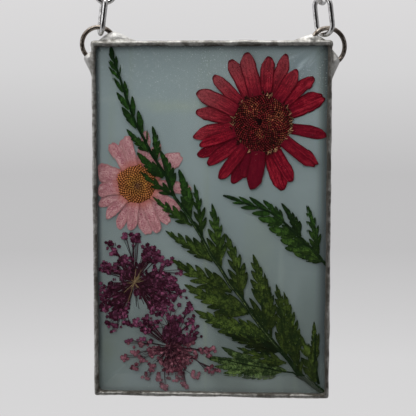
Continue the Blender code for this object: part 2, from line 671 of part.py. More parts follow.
def main():
    """Build the pressed flower frame."""
    clear_scene()
    parts = new_collection("pressed_flower_frame")
    tools = new_collection("cutters")
    finishes = {
        "front_glass": make_material("front_glass", (0.42, 0.47, 0.48), 0.05),
        "back_glass": make_material("back_glass", (0.30, 0.36, 0.37), 0.15),
        "solder": make_material("solder", (0.42, 0.41, 0.40), 0.38, 1.0),
        "loop_wire": make_material("loop_wire", (0.30, 0.22, 0.15), 0.35, 1.0),
        "chain_steel": make_material("chain_steel", (0.62, 0.62, 0.63), 0.2, 1.0),
        "red_petal": make_material("red_petal", (0.32, 0.015, 0.035), 0.7),
        "red_disc": make_material("red_disc", (0.10, 0.012, 0.02), 0.8),
        "pink_petal": make_material("pink_petal", (0.62, 0.26, 0.31), 0.7),
        "pink_disc": make_material("pink_disc", (0.42, 0.18, 0.04), 0.8),
        "umbel": make_material("umbel", (0.13, 0.02, 0.07), 0.8),
        "frond": make_material("frond", (0.035, 0.075, 0.02), 0.7),
    }
    build_front_glass(parts, finishes["front_glass"])
    build_back_glass(parts, finishes["back_glass"])
    cutters = build_loops(parts, tools, finishes["loop_wire"])
    build_border(parts, tools, cutters, finishes["solder"])
    steel = finishes["chain_steel"]
    left = ("left", LEFT_LOOP_CENTRE, LEFT_LOOP_RADIUS, LEFT_LOOP_TURN, -1, LEFT_LINK_TURNS)
    right = ("right", RIGHT_LOOP_CENTRE, RIGHT_LOOP_RADIUS, RIGHT_LOOP_TURN, 1, RIGHT_LINK_TURNS)
    build_chain(*left, parts, steel)
    build_chain(*right, parts, steel)
    build_flowers(parts, finishes)


main()
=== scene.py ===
"""Looks of the pressed flower frame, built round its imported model.

Pressed pieces are modelled lying on the back pane: u runs right and v runs up
from the middle of the panes, and h is the height above the back pane, all in
millimetres.  SHEET turns such a point into the world, where X is u, Z is up and
the front of the frame faces -Y.
"""

import logging
import math
from dataclasses import dataclass
from enum import Enum

import bpy
import numpy as np
from mathutils import Matrix, Vector, noise


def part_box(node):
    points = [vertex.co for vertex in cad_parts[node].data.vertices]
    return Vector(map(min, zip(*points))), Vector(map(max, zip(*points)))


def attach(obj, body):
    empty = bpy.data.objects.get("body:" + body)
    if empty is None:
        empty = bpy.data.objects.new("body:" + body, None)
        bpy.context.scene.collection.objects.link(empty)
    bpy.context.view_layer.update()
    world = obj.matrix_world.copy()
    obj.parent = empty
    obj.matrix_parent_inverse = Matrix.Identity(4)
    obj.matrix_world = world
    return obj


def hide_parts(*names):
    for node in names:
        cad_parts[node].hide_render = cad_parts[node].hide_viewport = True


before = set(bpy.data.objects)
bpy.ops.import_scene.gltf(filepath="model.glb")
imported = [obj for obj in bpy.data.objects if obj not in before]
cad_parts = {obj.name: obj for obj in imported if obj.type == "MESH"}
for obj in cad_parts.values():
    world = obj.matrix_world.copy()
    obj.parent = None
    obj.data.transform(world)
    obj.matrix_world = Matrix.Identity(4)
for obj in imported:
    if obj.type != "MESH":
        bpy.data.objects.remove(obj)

MM = 0.001
HANG_V = 122.5
BACK_PANE_Y = 1.74
WINDOW_HALF = 49.4
SHEET = Matrix(
    (
        (MM, 0.0, 0.0, 0.0),
        (0.0, 0.0, -MM, BACK_PANE_Y * MM),
        (0.0, MM, 0.0, -HANG_V * MM),
        (0.0, 0.0, 0.0, 1.0),
    )
)
GOLDEN_ANGLE = 137.508
LOG = logging.getLogger("pressed_flower_frame")

Colour = tuple[float, float, float]
Point = tuple[float, float]


class Body(Enum):
    """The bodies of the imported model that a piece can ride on."""

    FRAME = "frame"
    CHAINS = "chains"


class Part(Enum):
    """What is chosen in edit mode."""

    VERTICES = "vertices"
    FACES = "polygons"


class Tip(Enum):
    """How a petal ends: the depth of its notch, as a share of the petal's length."""

    ROUND = 0.006
    BLUNT = 0.014
    NOTCHED = 0.045


def deselect() -> None:
    """Leave edit mode and select nothing."""
    if bpy.context.object and bpy.context.object.mode != "OBJECT":
        bpy.ops.object.mode_set(mode="OBJECT")
    bpy.ops.object.select_all(action="DESELECT")


def select_only(obj: bpy.types.Object) -> None:
    """Select one object and make it the active one."""
    deselect()
    obj.select_set(True)
    bpy.context.view_layer.objects.active = obj


def edit_chosen(obj: bpy.types.Object, part: Part, chosen: list[bool]) -> None:
    """Enter edit mode with only the chosen vertices or faces selected.

    Args:
        obj: The mesh object.
        part: What is chosen.
        chosen: For each vertex or face, whether it is selected.
    """
    for kind in ("vertices", "edges", "polygons"):
        elements = getattr(obj.data, kind)
        elements.foreach_set("select", [False] * len(elements))
    getattr(obj.data, part.value).foreach_set("select", [bool(value) for value in chosen])
    bpy.context.view_layer.objects.active = obj
    bpy.context.tool_settings.mesh_select_mode = (part is Part.VERTICES, False, part is Part.FACES)
    bpy.ops.object.mode_set(mode="EDIT")


def points_of(obj: bpy.types.Object) -> np.ndarray:
    """Read a mesh object's vertices.

    Args:
        obj: The mesh object.

    Returns:
        One row of three coordinates per vertex.
    """
    flat = np.zeros(len(obj.data.vertices) * 3)
    obj.data.vertices.foreach_get("co", flat)
    return flat.reshape(-1, 3)


def set_points(obj: bpy.types.Object, points: np.ndarray) -> None:
    """Write a mesh object's vertices.

    Args:
        obj: The mesh object.
        points: One row of three coordinates per vertex.
    """
    obj.data.vertices.foreach_set("co", np.ascontiguousarray(points, dtype=np.float32).ravel())
    obj.data.update()


def apply_modifier(obj: bpy.types.Object, kind: str, **settings: object) -> None:
    """Add a modifier and apply it.

    Args:
        obj: The object to change.
        kind: The modifier's type.
        **settings: The modifier's settings.
    """
    select_only(obj)
    modifier = obj.modifiers.new(kind.lower(), kind)
    for key, value in settings.items():
        setattr(modifier, key, value)
    bpy.ops.object.modifier_apply(modifier=modifier.name)


def join(pieces: list[bpy.types.Object]) -> bpy.types.Object:
    """Join objects into the first of them.

    Args:
        pieces: The objects.

    Returns:
        The first object, which now holds all the meshes.
    """
    deselect()
    for piece in pieces:
        piece.select_set(True)
    bpy.context.view_layer.objects.active = pieces[0]
    bpy.ops.object.join()
    return pieces[0]


def clean(obj: bpy.types.Object, distance: float) -> None:
    """Merge doubled vertices and turn every face outwards.

    Args:
        obj: The object to clean.
        distance: How close two vertices have to be to be merged.
    """
    select_only(obj)
    bpy.ops.object.mode_set(mode="EDIT")
    bpy.ops.mesh.select_all(action="SELECT")
    bpy.ops.mesh.remove_doubles(threshold=distance)
    bpy.ops.mesh.normals_make_consistent(inside=False)
    bpy.ops.object.mode_set(mode="OBJECT")


def tint_layer(mesh: bpy.types.Mesh, colours: np.ndarray) -> None:
    """Store one colour per vertex in the attribute "tint".

    Args:
        mesh: The mesh.
        colours: The red, green, blue and alpha of each vertex.
    """
    layer = mesh.attributes.new("tint", "FLOAT_COLOR", "POINT")
    layer.data.foreach_set("color", np.ascontiguousarray(colours, dtype=np.float32).ravel())


def add_object(name: str, data: bpy.types.ID) -> bpy.types.Object:
    """Add an object to the scene.

    Args:
        name: Its name.
        data: Its mesh, lamp or camera.

    Returns:
        The object.
    """
    obj = bpy.data.objects.new(name, data)
    bpy.context.scene.collection.objects.link(obj)
    return obj


def float_layer(obj: bpy.types.Object, name: str, values: np.ndarray) -> None:
    """Store one number per vertex.

    Args:
        obj: The mesh object.
        name: The attribute's name.
        values: The numbers.
    """
    layer = obj.data.attributes.new(name, "FLOAT", "POINT")
    layer.data.foreach_set("value", np.asarray(values, dtype=np.float32))


def stamp(
    name: str,
    template: bpy.types.Object,
    places: list[Matrix],
    tints: list[Colour],
    shades: np.ndarray | None = None,
) -> bpy.types.Object:
    """Copy one small shape to many places in a single mesh.

    Args:
        name: The new object's name.
        template: The shape to copy.
        places: Where each copy goes.
        tints: The colour of each copy, kept in the attribute "tint".
        shades: How bright each vertex of the shape is, as painted light and shade.

    Returns:
        The new object.
    """
    shape = points_of(template)
    rows = np.concatenate([shape, np.ones((len(shape), 1))], axis=1)
    moves = np.array([[list(row) for row in place] for place in places])
    points = np.einsum("nij,kj->nki", moves, rows)[..., :3].reshape(-1, 3)
    faces = [list(polygon.vertices) for polygon in template.data.polygons]
    count = len(shape)
    copies = [[index + count * n for index in face] for n in range(len(places)) for face in faces]
    mesh = bpy.data.meshes.new(name)
    mesh.from_pydata(points.tolist(), [], copies)
    colours = np.ones((len(places), count, 4), dtype=np.float32)
    colours[:, :, :3] = np.array(tints)[:, None, :]
    if shades is not None:
        colours[:, :, :3] *= shades[None, :, None]
    tint_layer(mesh, colours)
    return add_object(name, mesh)


def keep_inside(obj: bpy.types.Object, node: str) -> None:
    """Flatten what of a piece stands outside its CAD node's box.

    Args:
        obj: The piece, in place in its own mesh.
        node: The CAD node.
    """
    low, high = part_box(node)
    set_points(obj, np.minimum(np.maximum(points_of(obj), np.array(low)), np.array(high)))


def discard(*objects: bpy.types.Object) -> None:
    """Remove helper objects.

    Args:
        *objects: The objects to remove.
    """
    for obj in objects:
        bpy.data.objects.remove(obj, do_unlink=True)


def settle(
    obj: bpy.types.Object,
    name: str,
    body: Body,
    material: bpy.types.Material,
    slot: str,
    *nodes: str,
) -> bpy.types.Object:
    """Finish a piece: name, material, body and the CAD nodes it stands for.

    Args:
        obj: The piece, in place in its own mesh.
        name: Its name.
        body: The body it rides on.
        material: Its material.
        slot: The record's material slot; not used.
        *nodes: The CAD nodes that it replaces.

    Returns:
        The piece.
    """
    obj.name = name
    obj.data.name = name
    obj.data.materials.clear()
    obj.data.materials.append(material)
    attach(obj, body.value)
    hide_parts(*nodes)
    LOG.info("%s: %d faces", name, len(obj.data.polygons))
    return obj


def add_grid(across: int, along: int) -> bpy.types.Object:
    """Add a flat grid over the unit square, with its own UV map.

    Args:
        across: Faces from side to side.
        along: Faces from base to tip.

    Returns:
        The grid.
    """
    deselect()
    bpy.ops.mesh.primitive_grid_add(x_subdivisions=across, y_subdivisions=along, size=1.0)
    return bpy.context.object


class Graph:
    """A node tree that is being wired, with short calls for its usual nodes."""

    def __init__(self, tree: bpy.types.NodeTree) -> None:
        """Take the tree to wire.

        Args:
            tree: The node tree.
        """
        self.tree = tree

    def put(self, socket: bpy.types.NodeSocket, value: object) -> None:
        """Link or set one input.

        Args:
            socket: The input.
            value: What feeds it, a value or another node's socket.
        """
        if isinstance(value, bpy.types.NodeSocket):
            self.tree.links.new(value, socket)
        elif isinstance(value, tuple) and socket.type == "RGBA":
            socket.default_value = (*value, 1.0)
        else:
            socket.default_value = value

    def node(self, kind: str, inputs: dict | None = None, **settings: object) -> bpy.types.Node:
        """Add a node.

        Args:
            kind: The node's type.
            inputs: What feeds each input, as a value or another node's socket.
            **settings: The node's own settings.

        Returns:
            The node.
        """
        made = self.tree.nodes.new(kind)
        for key, value in settings.items():
            setattr(made, key, value)
        for key, value in (inputs or {}).items():
            self.put(made.inputs[key], value)
        return made

    def spot(self) -> bpy.types.NodeSocket:
        """Give the object coordinates."""
        return self.node("ShaderNodeTexCoord").outputs["Object"]

    def axes(self, vector: object) -> object:
        """Split a vector into its three values."""
        return self.node("ShaderNodeSeparateXYZ", {"Vector": vector}).outputs

    def attribute(self, name: str, output: str = "Fac") -> bpy.types.NodeSocket:
        """Read an attribute of the mesh."""
        return self.node("ShaderNodeAttribute", attribute_name=name).outputs[output]

    def place(self, scale: tuple[float, float, float] = (1.0, 1.0, 1.0)) -> bpy.types.NodeSocket:
        """Give object coordinates, scaled per axis.

        Args:
            scale: The scale along each axis.

        Returns:
            The vector socket.
        """
        return self.node("ShaderNodeMapping", {"Vector": self.spot(), "Scale": scale}).outputs[0]

    def noise(
        self, vector: object, scale: float, detail: float = 2.0, distortion: float = 0.0
    ) -> bpy.types.NodeSocket:
        """Add a noise texture.

        Args:
            vector: The vector socket that it reads.
            scale: Its scale.
            detail: Its detail.
            distortion: Its distortion.

        Returns:
            The value socket.
        """
        values = {"Vector": vector, "Scale": scale, "Detail": detail, "Distortion": distortion}
        return self.node("ShaderNodeTexNoise", values).outputs[0]

    def ramp(self, factor: object, stops: tuple) -> bpy.types.NodeSocket:
        """Turn a value into a colour.

        Args:
            factor: The value socket.
            stops: Pairs of a position and a colour, or a grey.

        Returns:
            The colour socket.
        """
        node = self.node("ShaderNodeValToRGB", {"Fac": factor})
        elements = node.color_ramp.elements
        while len(elements) < len(stops):
            elements.new(1.0)
        for element, (position, colour) in zip(elements, stops):
            element.position = position
            element.color = (*colour, 1.0) if isinstance(colour, tuple) else (colour,) * 3 + (1.0,)
        return node.outputs[0]

    def mix(self, factor: object, low: object, high: object, blend: str = "MIX") -> object:
        """Mix two colours.

        Args:
            factor: The share of the second colour.
            low: The first colour.
            high: The second colour.
            blend: The blend type.

        Returns:
            The colour socket.
        """
        node = self.node("ShaderNodeMix", data_type="RGBA", blend_type=blend)
        for index, value in ((0, factor), (6, low), (7, high)):
            self.put(node.inputs[index], value)
        return node.outputs[2]

    def sum(self, operation: str, *values: object) -> object:
        """Do one step of arithmetic.

        Args:
            operation: The operation's name.
            *values: The values, as numbers or sockets.

        Returns:
            The value socket.
        """
        return self.node("ShaderNodeMath", dict(enumerate(values)), operation=operation).outputs[0]

    def times(self, first: object, second: object) -> object:
        """Multiply two values."""
        return self.sum("MULTIPLY", first, second)

    def span(self, value: object, low: float, high: float) -> object:
        """Turn a value from low to high into a smooth step from 0 to 1.

        Args:
            value: The value socket.
            low: Where the step starts.
            high: Where the step ends.

        Returns:
            The value socket.
        """
        inputs = {"Value": value, "From Min": low, "From Max": high}
        node = self.node("ShaderNodeMapRange", inputs, interpolation_type="SMOOTHSTEP")
        return node.outputs[0]

    def bump(self, height: object, distance: float, strength: float = 1.0) -> object:
        """Turn a height into a normal.

        Args:
            height: The height socket.
            distance: The height in metres of the value 1.
            strength: The strength of the bump.

        Returns:
            The normal socket.
        """
        inputs = {"Height": height, "Distance": distance, "Strength": strength}
        return self.node("ShaderNodeBump", inputs).outputs[0]


def start_material(name: str) -> tuple[bpy.types.Material, Graph, bpy.types.Node]:
    """Start a node material.

    Args:
        name: The material's name.

    Returns:
        The material, its graph and its Principled shader.
    """
    material = bpy.data.materials.new(name)
    material.use_nodes = True
    return material, Graph(material.node_tree), material.node_tree.nodes["Principled BSDF"]


def feed(graph: Graph, shader: bpy.types.Node, **inputs: object) -> None:
    """Set or link the sockets of a shader, named with _ for a space.

    Args:
        graph: The graph that the shader is in.
        shader: The shader.
        **inputs: What feeds each socket.
    """
    for key, value in inputs.items():
        graph.put(shader.inputs[key.replace("_", " ")], value)


def start_group(name: str, inputs: dict[str, str], output: str) -> tuple[Graph, object]:
    """Start a node group that gives one value.

    Args:
        name: The group's name.
        inputs: The name and the kind of each of its inputs.
        output: The name of its output.

    Returns:
        The group's graph and the sockets that its inputs feed.
    """
    tree = bpy.data.node_groups.new(name, "ShaderNodeTree")
    for key, kind in inputs.items():
        tree.interface.new_socket(key, in_out="INPUT", socket_type=f"NodeSocket{kind}")
    tree.interface.new_socket(output, in_out="OUTPUT", socket_type="NodeSocketFloat")
    graph = Graph(tree)
    return graph, graph.node("NodeGroupInput").outputs


def fibre_group() -> bpy.types.NodeTree:
    """Build the group that draws fine fibres along a petal or a leaf.

    Returns:
        The group, with the inputs Map, Across and Along and the output Fibre.
    """
    inputs = {"Map": "Vector", "Across": "Float", "Along": "Float"}
    graph, given = start_group("fibres", inputs, "Fibre")
    scale = graph.node("ShaderNodeCombineXYZ", {"X": given["Across"], "Y": given["Along"], "Z": 1.0})
    both = {0: given["Map"], 1: scale.outputs[0]}
    stretched = graph.node("ShaderNodeVectorMath", both, operation="MULTIPLY").outputs[0]
    coarse = graph.noise(stretched, 1.0, 3.0, 0.4)
    fine = graph.noise(stretched, 3.1, 2.0, 0.2)
    fibre = graph.sum("MULTIPLY_ADD", fine, 0.4, graph.times(coarse, 0.6))
    graph.node("NodeGroupOutput", {"Fibre": fibre})
    return graph.tree


def mottle_group() -> bpy.types.NodeTree:
    """Build the group that draws uneven blotches at two sizes.

    Returns:
        The group, with the inputs Map and Scale and the output Mottle.
    """
    graph, given = start_group("mottle", {"Map": "Vector", "Scale": "Float"}, "Mottle")
    coarse = graph.noise(given["Map"], given["Scale"], 4.0, 0.8)
    fine = graph.noise(given["Map"], graph.times(given["Scale"], 4.3), 3.0, 0.3)
    blotch = graph.sum("MULTIPLY_ADD", fine, 0.45, graph.times(coarse, 0.55))
    graph.node("NodeGroupOutput", {"Mottle": blotch})
    return graph.tree


def fibres(graph: Graph, vector: object, across: float, along: float) -> object:
    """Place the fibre group.

    Args:
        graph: The graph to place it in.
        vector: The vector that it reads.
        across: Fibres from side to side.
        along: Changes from base to tip.

    Returns:
        The value socket.
    """
    group = bpy.data.node_groups.get("fibres") or fibre_group()
    inputs = {"Map": vector, "Across": across, "Along": along}
    return graph.node("ShaderNodeGroup", inputs, node_tree=group).outputs["Fibre"]


def mottle(graph: Graph, vector: object, scale: float) -> object:
    """Place the mottle group.

    Args:
        graph: The graph to place it in.
        vector: The vector that it reads.
        scale: How many blotches there are in a metre.

    Returns:
        The value socket.
    """
    group = bpy.data.node_groups.get("mottle") or mottle_group()
    inputs = {"Map": vector, "Scale": scale}
    return graph.node("ShaderNodeGroup", inputs, node_tree=group).outputs["Mottle"]


@dataclass(frozen=True)
class PetalFinish:
    """A dried petal: fibres along it, a darker rim and base, and a tone of its own."""

    name: str
    deep: Colour
    middle: Colour
    light: Colour
    faded: Colour
    rim: Colour
    base: Colour
    dusk: Colour
    speckle: Colour
    speckle_amount: float
    fibre_count: float = 9.0

    def material(self) -> bpy.types.Material:
        """Build the material.

        Returns:
            The material.
        """
        material, graph, shader = start_material(self.name)
        uv = graph.node("ShaderNodeUVMap", uv_map="UVMap").outputs[0]
        spot = graph.spot()
        seed = graph.attribute("seed")
        shift = graph.node("ShaderNodeCombineXYZ", {"X": 0.0, "Y": 0.0, "Z": seed}).outputs[0]
        moved = graph.node("ShaderNodeVectorMath", {0: uv, 1: shift}, operation="ADD").outputs[0]
        fibre = fibres(graph, moved, self.fibre_count, 1.5)
        blotch = mottle(graph, spot, 420.0)
        mixed = graph.sum("ADD", graph.times(fibre, 0.62), graph.times(blotch, 0.38))
        colour = graph.ramp(mixed, ((0.42, self.deep), (0.5, self.middle), (0.57, self.light)))
        tone = graph.attribute("tone")
        ends = graph.axes(uv)
        outer = graph.span(ends[1], 0.2, 0.95)
        weighted = graph.sum("MULTIPLY_ADD", outer, 0.82, 0.18)
        fade = graph.times(graph.sum("MAXIMUM", tone, 0.0), weighted)
        dusk = graph.sum("MAXIMUM", graph.times(tone, -1.0), 0.0)
        colour = graph.mix(dusk, colour, self.dusk)
        colour = graph.mix(fade, colour, graph.mix(mixed, self.middle, self.faded))
        grain = graph.noise(spot, 1900.0, 2.0)
        dots = graph.span(grain, 0.54, 0.62)
        colour = graph.mix(graph.times(dots, self.speckle_amount), colour, self.speckle)
        side = graph.sum("ABSOLUTE", graph.sum("SUBTRACT", ends[0], 0.5))
        rim = graph.sum("MAXIMUM", graph.span(side, 0.38, 0.46), graph.span(ends[1], 0.93, 0.975))
        colour = graph.mix(graph.times(rim, 0.8), colour, self.rim)
        foot = graph.sum("SUBTRACT", 1.0, graph.span(ends[1], 0.0, 0.3))
        colour = graph.mix(graph.times(foot, 0.75), colour, self.base)
        rough = graph.ramp(blotch, ((0.3, 0.5), (0.7, 0.75)))
        normal = graph.bump(mixed, 0.0002, 0.7)
        feed(
            graph, shader, Base_Color=colour, Roughness=rough, Normal=normal, Specular_IOR_Level=0.08
        )
        return material


@dataclass(frozen=True)
class TintFinish:
    """A dried part whose many small pieces each carry a tint of their own."""

    name: str
    shade: Colour
    grain: float = 1500.0
    depth: float = 0.55
    roughness: float = 0.7

    def material(self) -> bpy.types.Material:
        """Build the material.

        Returns:
            The material.
        """
        material, graph, shader = start_material(self.name)
        tint = graph.attribute("tint", "Color")
        spot = graph.spot()
        blotch = mottle(graph, spot, self.grain)
        dark = graph.times(graph.span(blotch, 0.58, 0.38), self.depth)
        colour = graph.mix(dark, tint, self.shade)
        normal = graph.bump(blotch, 0.0002, 0.6)
        feed(
            graph, shader, Base_Color=colour, Roughness=self.roughness, Normal=normal,
            Specular_IOR_Level=0.06,
        )
        return material


@dataclass(frozen=True)
class LeafFinish:
    """A dried fern leaf that turns from dark green at its tip to olive below."""

    name: str
    upper: Colour
    lower: Colour
    glow: Colour
    dark: Colour
    turn_low: float = -0.150
    turn_high: float = -0.098

    def material(self) -> bpy.types.Material:
        """Build the material.

        Returns:
            The material.
        """
        material, graph, shader = start_material(self.name)
        tint = graph.attribute("tint", "Color")
        spot = graph.spot()
        height = graph.axes(spot)[2]
        blotch = mottle(graph, spot, 340.0)
        turn = graph.span(height, self.turn_low, self.turn_high)
        base = graph.mix(turn, self.lower, self.upper)
        base = graph.mix(1.0, base, tint, "MULTIPLY")
        bright = graph.mix(1.0, base, self.glow, "MULTIPLY")
        light = graph.span(blotch, 0.50, 0.60)
        base = graph.mix(graph.times(light, 0.75), base, bright)
        shade = graph.span(blotch, 0.52, 0.42)
        base = graph.mix(graph.times(shade, 0.8), base, self.dark)
        normal = graph.bump(mottle(graph, spot, 900.0), 0.0003, 0.7)
        feed(
            graph, shader, Base_Color=base, Roughness=0.6, Normal=normal, Specular_IOR_Level=0.08
        )
        return material


LINE_SIDE = (0.0497, 0.0509)
LINE_END = (0.0754, 0.0762)
HIGHLIGHT_SIDE = (0.0518, 0.0536)
HIGHLIGHT_END = (0.0784, 0.0796)
RIM_LEFT = (-0.0470, -0.0498)
RIM_RIGHT = (0.0440, 0.0496)
RIM_END = (0.0728, 0.0756)


@dataclass(frozen=True)
class MetalFinish:
    """A metal with dull and dark blotches; solder also gets a dark line along its inner edge, partly
    foil patina and partly painted shade, and a painted highlight on its mounds and outer edges.
    """

    name: str
    bright: Colour
    dull: Colour
    dark: Colour
    grain: float
    smooth: float
    rough: float
    dark_share: float
    bump: float
    inner_patina_and_shade: float = 0.0

    def material(self) -> bpy.types.Material:
        """Build the material.

        Returns:
            The material.
        """
        material, graph, shader = start_material(self.name)
        spot = graph.spot()
        blotch = mottle(graph, spot, self.grain)
        colour = graph.ramp(blotch, ((0.38, self.dull), (0.6, self.bright)))
        wide = mottle(graph, spot, self.grain * 0.4)
        stain = graph.times(graph.span(wide, 0.52, 0.42), self.dark_share)
        colour = graph.mix(stain, colour, self.dark)
        rough = graph.ramp(blotch, ((0.35, self.rough), (0.65, self.smooth)))
        # Dark line along the solder's inner edge: partly patina on the copper foil, partly painted
        # shade next to the glass.
        if self.inner_patina_and_shade:
            axes = graph.axes(spot)
            above = graph.sum("ADD", axes[2], HANG_V * MM)
            middle = graph.sum("MAXIMUM", above, graph.sum("SUBTRACT", -0.0004, above))
            uneven = graph.times(graph.sum("SUBTRACT", wide, 0.5), 0.004)
            right = graph.sum("SUBTRACT", axes[0], 0.0007)
            side = graph.sum("MAXIMUM", right, graph.times(axes[0], -1.0))
            side = graph.sum("ADD", side, uneven)
            end = graph.sum("ADD", middle, uneven)
            outer = graph.sum("MAXIMUM", graph.span(side, *LINE_SIDE), graph.span(end, *LINE_END))
            line = graph.times(graph.sum("SUBTRACT", 1.0, outer), self.inner_patina_and_shade)
            colour = graph.mix(line, colour, self.dark)
            rough = graph.mix(line, rough, (0.8, 0.8, 0.8))
            # Painted highlight on the solder mounds and the outer edges of the border.
            beside = graph.span(graph.sum("ABSOLUTE", axes[0]), *HIGHLIGHT_SIDE)
            painted_highlight = graph.sum("MAXIMUM", beside, graph.span(above, *HIGHLIGHT_END))
            colour = graph.mix(graph.times(painted_highlight, 0.5), colour, (0.85, 0.84, 0.82))
        normal = graph.bump(mottle(graph, spot, self.grain * 2.2), self.bump, 0.8)
        feed(graph, shader, Base_Color=colour, Roughness=rough, Normal=normal, Metallic=1.0)
        return material


@dataclass(frozen=True)
class ClearGlassFinish:
    """Clear glass with a faint trace of dust."""

    name: str

    def material(self) -> bpy.types.Material:
        """Build the material.

        Returns:
            The material.
        """
        material, graph, shader = start_material(self.name)
        spot = graph.spot()
        wave = graph.bump(graph.noise(spot, 60.0, 1.0), 0.00002, 0.3)
        haze = graph.ramp(mottle(graph, spot, 90.0), ((0.4, 0.0), (0.7, 0.02)))
        feed(
            graph, shader, Base_Color=(0.96, 0.985, 0.975), Roughness=haze, Normal=wave,
            Transmission_Weight=1.0, IOR=1.5, Specular_IOR_Level=0.25,
        )
        return material


@dataclass(frozen=True)
class WispOrReflection:
    """One soft streak painted on the milky glass, in panes' millimetres: a wisp in the glass or a
    painted reflection of the front pane.
    """

    middle: Point
    size: Point
    turn: float
    amount: float
    tone: Colour

    def mask(self, graph: Graph, spot: bpy.types.NodeSocket) -> bpy.types.NodeSocket:
        """Build the streak's mask.

        Args:
            graph: The graph to build it in.
            spot: The object coordinates.

        Returns:
            The mask's socket.
        """
        inputs = {
            "Vector": spot,
            "Location": (self.middle[0] * MM, 0.0, (self.middle[1] - HANG_V) * MM),
            "Rotation": (0.0, math.radians(-self.turn), 0.0),
            "Scale": (self.size[0] * MM, 1.0, self.size[1] * MM),
        }
        local = graph.node("ShaderNodeMapping", inputs, vector_type="TEXTURE").outputs[0]
        far = graph.node("ShaderNodeVectorMath", {0: local}, operation="LENGTH").outputs["Value"]
        torn = graph.times(graph.noise(spot, 160.0, 3.0), 0.9)
        near = graph.span(graph.sum("ADD", far, torn), 1.45, 0.3)
        return graph.times(near, self.amount)


@dataclass(frozen=True)
class WispyGlassFinish:
    """Milky art glass: pale blue-grey with soft wisps and streaks, painted shade round its edges under
    the border, and a few streaks that are painted reflections of the front pane.
    """

    name: str
    top: Colour
    bottom: Colour
    wisp: Colour
    green: Colour
    edge: Colour
    wisps_and_reflections: tuple[WispOrReflection, ...]

    def material(self) -> bpy.types.Material:
        """Build the material.

        Returns:
            The material.
        """
        material, graph, shader = start_material(self.name)
        spot = graph.spot()
        axes = graph.axes(spot)
        drop = graph.span(axes[2], -0.200, -0.060)
        colour = graph.mix(drop, self.bottom, self.top)
        wide = graph.noise(graph.place((14.0, 14.0, 5.0)), 1.0, 3.0, 1.2)
        colour = graph.mix(graph.times(graph.span(wide, 0.45, 0.72), 0.4), colour, self.wisp)
        upright = graph.noise(graph.place((110.0, 1.0, 6.0)), 1.0, 2.0, 0.3)
        streak = graph.times(graph.span(upright, 0.58, 0.78), 0.45)
        colour = graph.mix(streak, colour, self.green)
        level = graph.noise(graph.place((8.0, 1.0, 120.0)), 1.0, 2.0, 0.3)
        streak = graph.times(graph.span(level, 0.6, 0.8), 0.35)
        colour = graph.mix(streak, colour, self.wisp)
        # Each of these is a wisp in the glass or a painted reflection of the front pane.
        for wisp in self.wisps_and_reflections:
            colour = graph.mix(wisp.mask(graph, spot), colour, wisp.tone)
        # Painted shade round the pane's edges, under the border; half as strong along the bottom edge.
        left = graph.span(axes[0], *RIM_LEFT)
        right = graph.span(axes[0], *RIM_RIGHT)
        side = graph.sum("MAXIMUM", left, right)
        middle = graph.sum("ABSOLUTE", graph.sum("ADD", axes[2], HANG_V * MM))
        ends = graph.span(middle, *RIM_END)
        rim = graph.sum("MAXIMUM", side, graph.times(ends, 0.6))
        low = graph.sum("MAXIMUM", graph.span(axes[2], -0.198, -0.176), 0.5)
        rim = graph.times(rim, low)
        colour = graph.mix(graph.times(rim, 0.85), colour, self.edge)
        specks = graph.span(graph.noise(spot, 1900.0, 1.0), 0.66, 0.73)
        patch = graph.span(graph.noise(spot, 30.0, 2.0), 0.32, 0.55)
        upper = graph.span(axes[2], -0.085, -0.055)
        dust = graph.times(graph.times(specks, patch), upper)
        colour = graph.mix(graph.times(dust, 0.6), colour, (0.6, 0.64, 0.64))
        feed(graph, shader, Base_Color=colour, Roughness=0.4, Specular_IOR_Level=0.1)
        return material


RED_PETAL = PetalFinish(
    "dried_red_petal", (0.080, 0.0008, 0.005), (0.180, 0.0030, 0.013), (0.330, 0.018, 0.032),
    (0.310, 0.112, 0.118), (0.055, 0.0006, 0.004), (0.090, 0.0006, 0.008), (0.075, 0.0004, 0.008),
    (0.06, 0.001, 0.004), 0.5,
)
PINK_PETAL = PetalFinish(
    "dried_pink_petal", (0.305, 0.134, 0.145), (0.40, 0.188, 0.200), (0.52, 0.295, 0.300),
    (0.57, 0.38, 0.385), (0.35, 0.167, 0.17), (0.37, 0.108, 0.080), (0.24, 0.102, 0.112),
    (0.27, 0.060, 0.095), 0.80, 4.0,
)
RED_DISC = TintFinish("dried_red_disc", (0.008, 0.001, 0.001))
PINK_DISC = TintFinish("dried_pink_disc", (0.045, 0.010, 0.004))
UMBEL = TintFinish("dried_purple_umbel", (0.010, 0.002, 0.005), 1100.0)
FROND = LeafFinish(
    "dried_fern", (0.0115, 0.038, 0.0055), (0.029, 0.046, 0.0085), (2.5, 2.3, 2.0),
    (0.003, 0.009, 0.002),
)
# The last value is the solder's inner line of foil patina and painted shade.
SOLDER = MetalFinish(
    "old_solder", (0.54, 0.53, 0.505), (0.33, 0.32, 0.295), (0.09, 0.08, 0.065),
    210.0, 0.42, 0.62, 0.5, 0.0005, 0.8,
)
LOOP_WIRE = MetalFinish(
    "tinned_copper_wire", (0.40, 0.36, 0.315), (0.20, 0.155, 0.125), (0.05, 0.035, 0.025),
    420.0, 0.22, 0.42, 0.75, 0.00025,
)
CHAIN_STEEL = MetalFinish(
    "bright_steel", (0.86, 0.85, 0.84), (0.66, 0.65, 0.64), (0.14, 0.12, 0.11),
    500.0, 0.10, 0.24, 0.4, 0.00012,
)
CLEAR_GLASS = ClearGlassFinish("clear_bevelled_glass")
